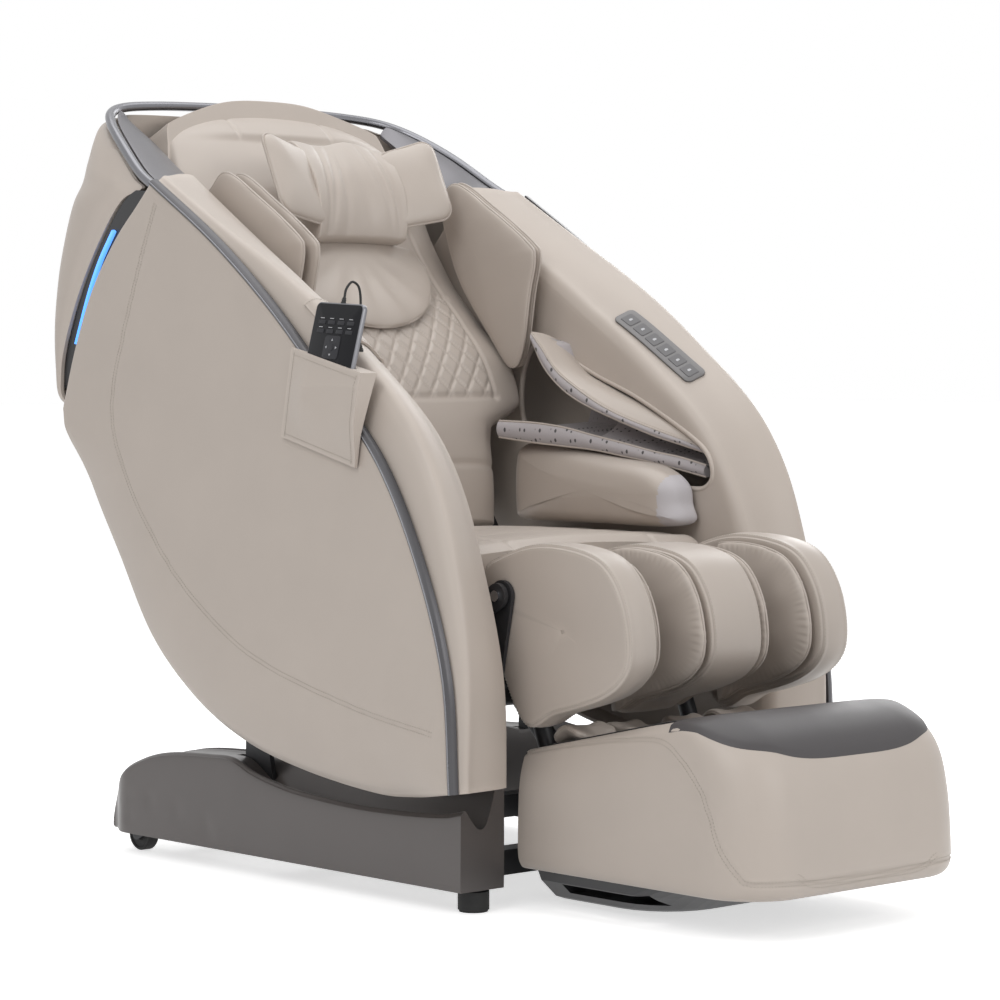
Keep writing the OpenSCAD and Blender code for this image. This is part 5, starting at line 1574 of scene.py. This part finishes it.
# %% Top rail and caps
RAIL = [[-374, 411, 1041], [-367, 459, 1066], [-348, 531, 1113], [-326, 587, 1146],
        [-298, 626, 1168], [-256, 645, 1180], [-184, 652, 1186], [-90, 655, 1189], [0, 656, 1190]]
RAIL_RADII, CAP_IN, CAP_THICK = (8, 7.4), 262, 6
CAP_OFF_RAIL, CAP_CROWN, CAP_BACK, CAP_FALL, CAP_LIFT = 14.4, 6, 46, 14, 26
half_rail = on(RAIL, np.linspace(0, 1, 90))
rail = np.concatenate([half_rail, flip(half_rail)[-2::-1]])
put("rail_tube", *pipe(rail, *RAIL_RADII, up=(0, -0.5, 1), n=24), "back", "strip_metal", "top_rail")
inwards, along = np.meshgrid(np.linspace(0, 1, 40), np.linspace(0, 1, 60))
start = on(RAIL, 0.02 + 0.5 * along[:, 0])[:, None]
crowned = CAP_CROWN * np.sin(math.pi * np.clip(inwards, 0, 1)) ** 0.8 * (1 - 0.5 * along)


def cap(drop):
    """The cap's surface, lower by drop and then without its crown."""
    return np.stack([mix(-start[..., 0] - CAP_OFF_RAIL, CAP_IN, inwards),
                     start[..., 1] + CAP_BACK * inwards * (1 - along),
                     start[..., 2] + 2 - drop - CAP_FALL * inwards + CAP_LIFT * inwards * (1 - along)
                     + crowned * (drop < 1)], -1)


put("top_cap_covers", *pair(slab(cap(0), cap(CAP_THICK))), "back", "gunmetal", "top_caps", sharp=50)

# %% [markdown]
# ## Light crescents
# Between each shell and the back cover sits a dark crescent with a thin blue tube of light. The tube is
# a lit plastic and not a lamp: it has to look bright, but it hardly lights the chair.

# %% Crescents and light tubes
CRESCENT = [[636, 716], [640, 750], [626, 805], [587, 887], [534, 963], [480, 1020], [425, 1046]]
LIGHT_LINE = [[500, 976], [536, 930], [566, 878], [600, 803]]
CRESCENT_SPAN = (0.08, 0.93)
LIGHT_RADII = (3, 5)


def crescent(x, n=14):
    """Grid at x between the shell's rear edge and the crescent's outer line."""
    t = mix(*CRESCENT_SPAN, np.linspace(0, 1, 60))
    a, b = on(SPLIT, t), on(CRESCENT, t)
    d = unit(b - a)
    p = mix((a + d * 3)[:, None], (b - d)[:, None], np.linspace(0, 1, n)[None, :, None])
    return np.concatenate([np.full((60, n, 1), x), p], -1)


put("light_housings", *pair(slab(crescent(SHELL_X - 14.0), crescent(SHELL_X - 22.0))), "back",
    "black_plastic", "led_housings")
tube = pipe(with_x(on(LIGHT_LINE, np.linspace(0, 1, 50)), SHELL_X - 11), *LIGHT_RADII, n=16)
put("light_tubes", *pair(tube), "back", "led_lens", "led_lenses")

# %% [markdown]
# ## Base covers
# Painted covers close the base at both sides. Outside they are a rounded wall that tapers down at the
# rear; under the shell a scoop leaves room for its belly, and a higher wall stands inside it. The
# section isn't convex, so each end is closed with one flat face; a fan of triangles would fold there.

# %% Base covers
RIDGE = [[618, 44], [622, 62], [612, 92], [589, 114], [560, 136], [527, 151], [480, 165], [423, 173],
         [346, 177], [289, 177], [235, 160], [175, 148], [116, 141], [1, 135], [-110, 136],
         [-196, 141], [-238, 149]]
COVER_X, COVER_IN, COVER_LOW = 330, 248, 34


def cover_section(side, r, scoop):
    """Places from the outer wall's foot over the ridge r and the scoop to the inner wall's foot."""
    return [[side - 4, COVER_LOW], [side, COVER_LOW + 3], [side, mix(COVER_LOW, r, 0.5)],
            [side - 0.5, r - 11], [side - 3, r - 4], [side - 9, r], [side - 18, r - 2 - 10 * scoop],
            [side - 32, r - 3 - 24 * scoop], [side - 46, r - 3 - 22 * scoop],
            [side - 58, r - 2 + 4 * scoop], [side - 66, r + 30 * scoop],
            [COVER_IN + 8, r - 2 + 50 * scoop], [COVER_IN + 3, r - 4 + 52 * scoop],
            [COVER_IN, r - 10 + 50 * scoop], [COVER_IN, COVER_LOW + 4], [COVER_IN + 3, COVER_LOW]]


cover_rings = []
for y, r in on(RIDGE, np.linspace(0, 1, 150)):
    scoop = 1 - float(smooth((y - 170) / 120))
    side = COVER_X - 26 * float(smooth((y - 540) / 80)) ** 2
    x, z = on(cover_section(side, r, scoop), np.linspace(0, 1, 80)).T
    z = np.maximum(z, COVER_LOW)
    z[0] = z[-1] = COVER_LOW
    cover_rings.append(np.column_stack([x, np.full(80, y), z]))
print("base cover:", len(cover_rings), "sections")

# %% The long shallow recess in each base cover, and the slot for the frame behind it
RECESS = [[578, 76], [560, 90], [510, 93], [440, 86], [332, 66], [322, 60], [340, 56], [430, 58],
          [560, 62], [576, 68], [578, 76]]
RECESS_PRESS = (1.8, 2.6, 0)
FRAME_SLOT, SLOT_LOW, SLOT_HIGH = [[277, 232], [290, 232], [290, 322], [277, 322]], 128.0, 215.0
recess = with_x(on(RECESS, np.linspace(0, 1, 160)), COVER_X) / 1000
frame_slot = loft([level(FRAME_SLOT, z) for z in (SLOT_LOW, SLOT_HIGH)])
for side, turn, turn_line in (("right", mirrored, flip), ("left", same, same)):
    wall = put(f"base_cover_skin_{side}", *turn(with_ends(cover_rings)), "base", "base_paint",
               f"base_cover_{side}", sharp=50)
    seam(wall, [turn_line(recess)], *RECESS_PRESS)
    carve(wall, *turn(frame_slot))

# %% [markdown]
# ## Hand remote
# The remote leans in a pocket on the right shell: a bright rim, a black face, eight small keys in a sheet
# of rubber and a round pad with four arrows. Everything on it is a rounded tile, so one helper that
# works in the remote's own leaning frame makes them all. It carries no lettering.

# %% The remote's own frame
REMOTE_FOOT = np.array([-SHELL_X - 4.6, -38, 741])
remote_up = unit([0.225, -0.053, 1])
remote_out = unit(np.cross(remote_up, [0, 1, 0.054]))
remote_across = np.cross(remote_out, remote_up)


def in_remote(p):
    """From the remote's frame (across, out of its face, up) to the chair's."""
    p = np.asarray(p, float)
    return REMOTE_FOOT + p[..., :1] * remote_across + p[..., 1:2] * remote_out + p[..., 2:3] * remote_up


def in_remote_skin(part):
    """A skin in the remote's frame, set on the chair."""
    return in_remote(part[0]), part[1]


def facing(ring, y, cx=0.0, cz=0.0):
    """Outline in the remote's face, y out of it and moved to (cx, cz)."""
    return np.column_stack([ring[:, 0] + cx, np.full(len(ring), y), ring[:, 1] + cz])


def tile(w, h, r, y0, y1, cx=0.0, cz=0.0, soft=0.6):
    """Rounded key or plate in the remote's frame, its face outwards."""
    ring = rounded_rect(w, h, r, 6)
    rows = [(y0, 0), (y1 - soft, 0), (y1 - soft * 0.3, soft * 0.3), (y1, soft)]
    return in_remote_skin(loft([facing(inset(ring, d), y, cx, cz) for y, d in rows]))


print("remote leans", round(math.degrees(math.acos(remote_up[2])), 1), "degrees")

# %% Case, face and cord neck of the remote
CASE_MIDDLE, CASE, FACE, NECK_OUT = 60, (53, 59.5, 9, 8), (50.4, 57, 7, 8.8, 10.1), 5
CASE_STEPS = [(0.3, 5), (1.2, 2), (3.4, 0.3), (7.2, 0.3), (9.0, 1.2), (9.8, 3.2)]
NECK_RIBS = [(118, 3.9), (121, 3.7), (122, 3.0), (124, 3.4), (125, 2.7), (127, 2.9), (128.4, 1.9)]
case = rounded_rect(*CASE)
rings = [facing(inset(case, d), y, 0, CASE_MIDDLE) for y, d in CASE_STEPS]
put("remote_case", *in_remote_skin(loft(rings)), "seat", "bright_steel", "remote_body",
    mats=["silver_trim"])
put("remote_face", *tile(*FACE, 0, CASE_MIDDLE, 0.5), "seat", "remote_black")
rings = [level(np.column_stack([r * np.cos(circle(16)), NECK_OUT + r * np.sin(circle(16))]), z)
         for z, r in NECK_RIBS]
put("remote_neck", *in_remote_skin(loft(rings)), "seat", "rubber")

# %% Keys, marks and round pad of the remote
KEY_LEFT, KEY_STEP, KEY_TOP, MARK_TOP, KEY_DROP, PAD_HEIGHT = -31.5, 21, 90, 95.6, 13, 54
KEY, MARK = (7.6, 2.9, 1.3, 9.6, 11.0), (4.2, 0.45, 0.3, 10.7, 11.1)
PAD, BUTTON, ARROW_SPAN = (17, 17, 5, 9.7, 11.5), (5.5, 5.5, 5.4, 11.2, 12.2), (11.2, 11.7)
ARROW = [[-1.8, 9.5], [1.8, 9.5], [0, 12.6]]
places = [(KEY_LEFT + KEY_STEP * i, KEY_DROP * j) for i in range(4) for j in range(2)]
keys = [tile(*KEY, x, KEY_TOP - down) for x, down in places]
put("remote_keys", *join(*keys), "seat", "keypad", "remote_keypad")
marks = [tile(*MARK, x, MARK_TOP - down, 0.1) for x, down in places]
put("remote_marks", *join(*marks), "seat", "key_grey", mats=["key_mark"])
pad = tile(*PAD, 0, PAD_HEIGHT, 1.0)
button = tile(*BUTTON, 0, PAD_HEIGHT, 0.5)
put("remote_pad", *join(pad, button), "nav_pad", "keypad", "nav_pad")
arrows = []
for a in np.radians(range(0, 360, 90)):
    arrow = np.array(ARROW) @ np.array([[math.cos(a), math.sin(a)], [-math.sin(a), math.cos(a)]])
    arrows.append(in_remote_skin(loft([facing(arrow, y, 0, PAD_HEIGHT) for y in ARROW_SPAN])))
put("remote_arrows", *join(*arrows), "nav_pad", "key_grey", mats=["key_mark"])

# %% [markdown]
# ## Pocket and its flap
# The pocket is a patch of leather sewn to the shell. Its face leans out over the remote, and its upper
# front corner bends inwards with the arm. A flap lies on the arm above it. A cloth simulation could drape
# the patch, but a grid that follows the remote's own lean fits it better, and the room for the remote is
# then cut out of it, so the two never meet.

# %% Pocket
POCKET_LOW, POCKET_HIGH = ([70, 668.0], [-96, 627.0]), ([45, 796.0], [-118, 760.0])
POCKET_BEND, REMOTE_ROOM, ROOM_SPAN = 18, (53.5, 5.5, 3), (-0.4, 170.0)


def pocket_rows(front, nu=60, nv=60):
    """The pocket's face (front) or the side that is sewn to the shell."""
    u, v = np.meshgrid(np.linspace(0, 1, nu), np.linspace(0, 1, nv), indexing="ij")
    low, high = (mix(np.array(a), np.array(b), u[..., None]) for a, b in (POCKET_LOW, POCKET_HIGH))
    p = mix(low, high, v[..., None])
    s = mix(0.97, 0.32, u)
    x = -SHELL_X - 1.5 + POCKET_BEND * smooth(u * 1.4) * np.maximum((v - s) / (1 - s), 0) ** 1.15
    if front:
        rise = np.maximum(p[..., 1] - REMOTE_FOOT[2], 0)
        bed = REMOTE_FOOT[0] + rise * remote_up[0] / remote_up[2] - 12.4
        x = mix(x - 5, np.minimum(x - 5, bed), smooth(v / 0.5) * smooth(u / 0.3))
        x = x + 0.8 * (1 + np.sin(u * 9 + v * 4)) * bump(v) * bump(u)
    return np.concatenate([x[..., None], p], -1)


pocket = put("pocket_pouch", *slab(pocket_rows(True), pocket_rows(False)), "seat", "shell_leather",
             "remote_pocket", sharp=60)
room = rounded_rect(*REMOTE_ROOM)
carve(pocket, *in_remote_skin(loft([level(room + [0, 5], z) for z in ROOM_SPAN])))

# %% Flap on the arm, and the stitches of both
FLAP_T, FLAP_TOP, FLAP_UNDER = (0.322, 0.41), 4.4, 0.9
FINE_PITCH = 0.0042


def flap_rows(h):
    """The arm's outer face between two places along the strip, lifted by h."""
    rows = []
    v = 0.12 + 0.86 * np.linspace(0, 1, 60)
    for t in np.linspace(*FLAP_T, 44):
        p, o, k = on(STRIP, t)[0], outward(STRIP, t)[0], arm_knots(t)[2:]
        q, d = on(k, v), unit(on(k, v + 0.02) - on(k, v - 0.02))
        rows.append(np.column_stack([-q[:, 0] - h * d[:, 1], p + o * (q[:, 1:2] - h * d[:, :1])]))
    return np.array(rows)


pocket_flap = put("pocket_flap", *slab(flap_rows(FLAP_TOP), flap_rows(FLAP_UNDER)), "seat",
                  "shell_leather", sharp=60)
face = pocket_rows(True) / 1000
for line in (face[3, 2:57], face[56, 2:57], face[3:57, 3], face[3:57, 55]):
    stitches(pocket, line, 0, "seat", pitch=FINE_PITCH)
face = flap_rows(FLAP_TOP + 0.1) / 1000
for line in (face[2], face[-3]):
    stitches(pocket_flap, line, 0, "seat", pitch=FINE_PITCH)

# %% [markdown]
# ## Control panel
# A slim grey plate with six keys lies on the sloping crown of the left arm. It bends with the arm, so
# its outline is laid out flat and each point is then set on the arm's own section. The keys and their
# small marks are the same kind of plate, a little higher.

# %% A plate on the left arm
PANEL_T, PANEL_X, PANEL_LIFT = (0.315, 0.475), ((281, 311), (293, 323)), 4


def panel_at(u, v, h):
    """Point on the sloping top of the arm: u down the panel, v across it, h above the leather."""
    u, v, h = np.broadcast_arrays(np.asarray(u, float), v, h)
    t = mix(PANEL_T[0], PANEL_T[1], u)
    p, o = on(STRIP, t), outward(STRIP, t)
    x = mix(mix(PANEL_X[0][0], PANEL_X[1][0], u), mix(PANEL_X[0][1], PANEL_X[1][1], u), v)
    k = np.array([arm_knots(a) for a in t])
    a, b = k[:, 6], k[:, 5]
    d = unit(b - a)
    lift = np.stack([-d[:, 1], d[:, 0]], 1) * h[:, None]
    q = a + (b - a) * ((x - a[:, 0]) / (b - a)[:, 0])[:, None] + lift
    return np.column_stack([q[:, 0], p + o * q[:, 1:2]])


def panel_plate(u0, u1, v0, v1, r, h0, h1, soft=0.8):
    """Rounded plate lying on the arm between two places down the panel and two across it."""
    long = float(np.linalg.norm(panel_at([u1], 0.5, 0) - panel_at([u0], 0.5, 0))) / 2
    wide = float(np.linalg.norm(panel_at([u0], v1, 0) - panel_at([u0], v0, 0))) / 2
    ring = dense(rounded_rect(wide, long, r, 8), 2.5)
    rings = []
    for h, d, s in [(h0, 0, 0), (h1 - soft, 0, 0), (h1 - soft * 0.3, soft * 0.3, 0), (h1, soft, 0)] \
            + [(h1, soft, k) for k in (0.15, 0.3, 0.5, 0.7, 0.85)]:
        q = inset(ring, d) * (1 - s)
        rings.append(panel_at((u0 + u1) / 2 + q[:, 1] / (2 * long) * (u1 - u0),
                              (v0 + v1) / 2 + q[:, 0] / (2 * wide) * (v1 - v0), h))
    return loft(rings)


panel_long = np.linalg.norm(panel_at([1], 0.5, 0) - panel_at([0], 0.5, 0))
print("control panel:", round(float(panel_long)), "mm long")

# %% Control plate, keys and marks
KEYS, KEY_HALF, KEY_ACROSS, KEY_SHAPE = 6, 0.066, (0.22, 0.78), (2, 2.6, 4.8, 0.6)
MARK_HALF, MARK_ACROSS, MARK_SHAPE = 0.012, (0.42, 0.58), (0.5, 4.7, 4.95, 0.05)
put("control_plate", *panel_plate(0, 1, 0, 1, 9, 0.4, PANEL_LIFT), "seat", "panel_grey",
    "control_panel", sharp=50)
for k in range(1, KEYS + 1):
    u = (k - 0.3) / (KEYS + 0.4)
    put(f"control_key_{k}", *panel_plate(u - KEY_HALF, u + KEY_HALF, *KEY_ACROSS, *KEY_SHAPE),
        f"panel_key_{k}", "key_grey", f"panel_key_{k}", sharp=50)
    put(f"control_mark_{k}",
        *panel_plate(u - MARK_HALF, u + MARK_HALF, *MARK_ACROSS, *MARK_SHAPE),
        f"panel_key_{k}", "key_grey", mats=["key_mark"], sharp=50)

# %% [markdown]
# ## Sewing
# All rows of stitches were only noted so far. A piece for each row would work, but the chair would fall
# into hundreds of pieces. Now each body's rows become one mesh that moves with its leather.

# %% Sewing, body by body
for seed, body in enumerate(sorted(stitch_rows)):
    print("stitches on", body, sew(body, seed))

# %% [markdown]
# ## Floor and light
# A wide white floor and four big soft lamps make a plain studio. A brighter floor would wash out the
# shadow under the chair. So the floor glows, and the background is fully white, only for the camera and
# for reflections, and both light the chair just a little from below and behind.

# %% White to the eye only
FLOOR_GLOW, SKY = 0.62, 0.46
FLOOR_HALF, FLOOR_WHITE = 40, (0.9, 0.9, 0.9, 1)
WHITE = (1, 1, 1, 1)


def seen_directly(nodes, links):
    """1 for the camera's own rays and for mirrored or refracted ones, else 0."""
    path = nodes.new("ShaderNodeLightPath")
    total = path.outputs["Is Camera Ray"]
    for name in ("Is Glossy Ray", "Is Transmission Ray"):
        most = node(nodes, "Math", operation="MAXIMUM")
        links.new(total, most.inputs[0])
        links.new(path.outputs[name], most.inputs[1])
        total = most.outputs[0]
    return total


far = FLOOR_HALF * 1000
floor = bare("floor", [(-far, -far, 0), (far, -far, 0), (far, far, 0), (-far, far, 0)], [(0, 1, 2, 3)])
paint, nodes, links, main = shader("floor_paint", {"Base Color": FLOOR_WHITE, "Roughness": 0.85,
                                                   "Specular IOR Level": 0.2, "Emission Color": WHITE})
strength = node(nodes, "Math", {1: FLOOR_GLOW}, operation="MULTIPLY")
links.new(seen_directly(nodes, links), strength.inputs[0])
links.new(strength.outputs[0], main.inputs["Emission Strength"])
floor.data.materials.append(paint)

world = bpy.data.worlds.new("studio")
world.use_nodes = True
nodes, links = world.node_tree.nodes, world.node_tree.links
nodes["Background"].inputs["Color"].default_value = WHITE
brightness = node(nodes, "MapRange", {"To Min": SKY, "To Max": 1.0})
links.new(seen_directly(nodes, links), brightness.inputs["Value"])
links.new(brightness.outputs["Result"], nodes["Background"].inputs["Strength"])
scene.world = world
scene.view_settings.view_transform = "Standard"
print("floor:", 2 * FLOOR_HALF, "m wide")

# %% Lamps: place, target, size and power
LAMPS = {"key": ((-3.6, -1.6, 3.4), (0, 0, 0.6), (2.6, 2.6), 64),
         "front": ((0.6, -4.6, 2.2), (0, -0.2, 0.5), (2.6, 2.0), 42),
         "top": ((0.3, 0.3, 3.6), (0, 0, 0.5), (3.0, 3.0), 48),
         "rim": ((3.4, 1.6, 2.0), (0, 0.2, 0.7), (1.6, 2.4), 32)}
for name, (place, target, size, power) in LAMPS.items():
    data = bpy.data.lights.new(name, "AREA")
    data.shape = "RECTANGLE"
    data.size, data.size_y = size
    data.energy = power
    lamp = bpy.data.objects.new(name, data)
    lamp.location = place
    lamp.rotation_euler = (Vector(target) - Vector(place)).to_track_quat("-Z", "Y").to_euler()
    scene.collection.objects.link(lamp)
    print("lamp", name, power, "W")
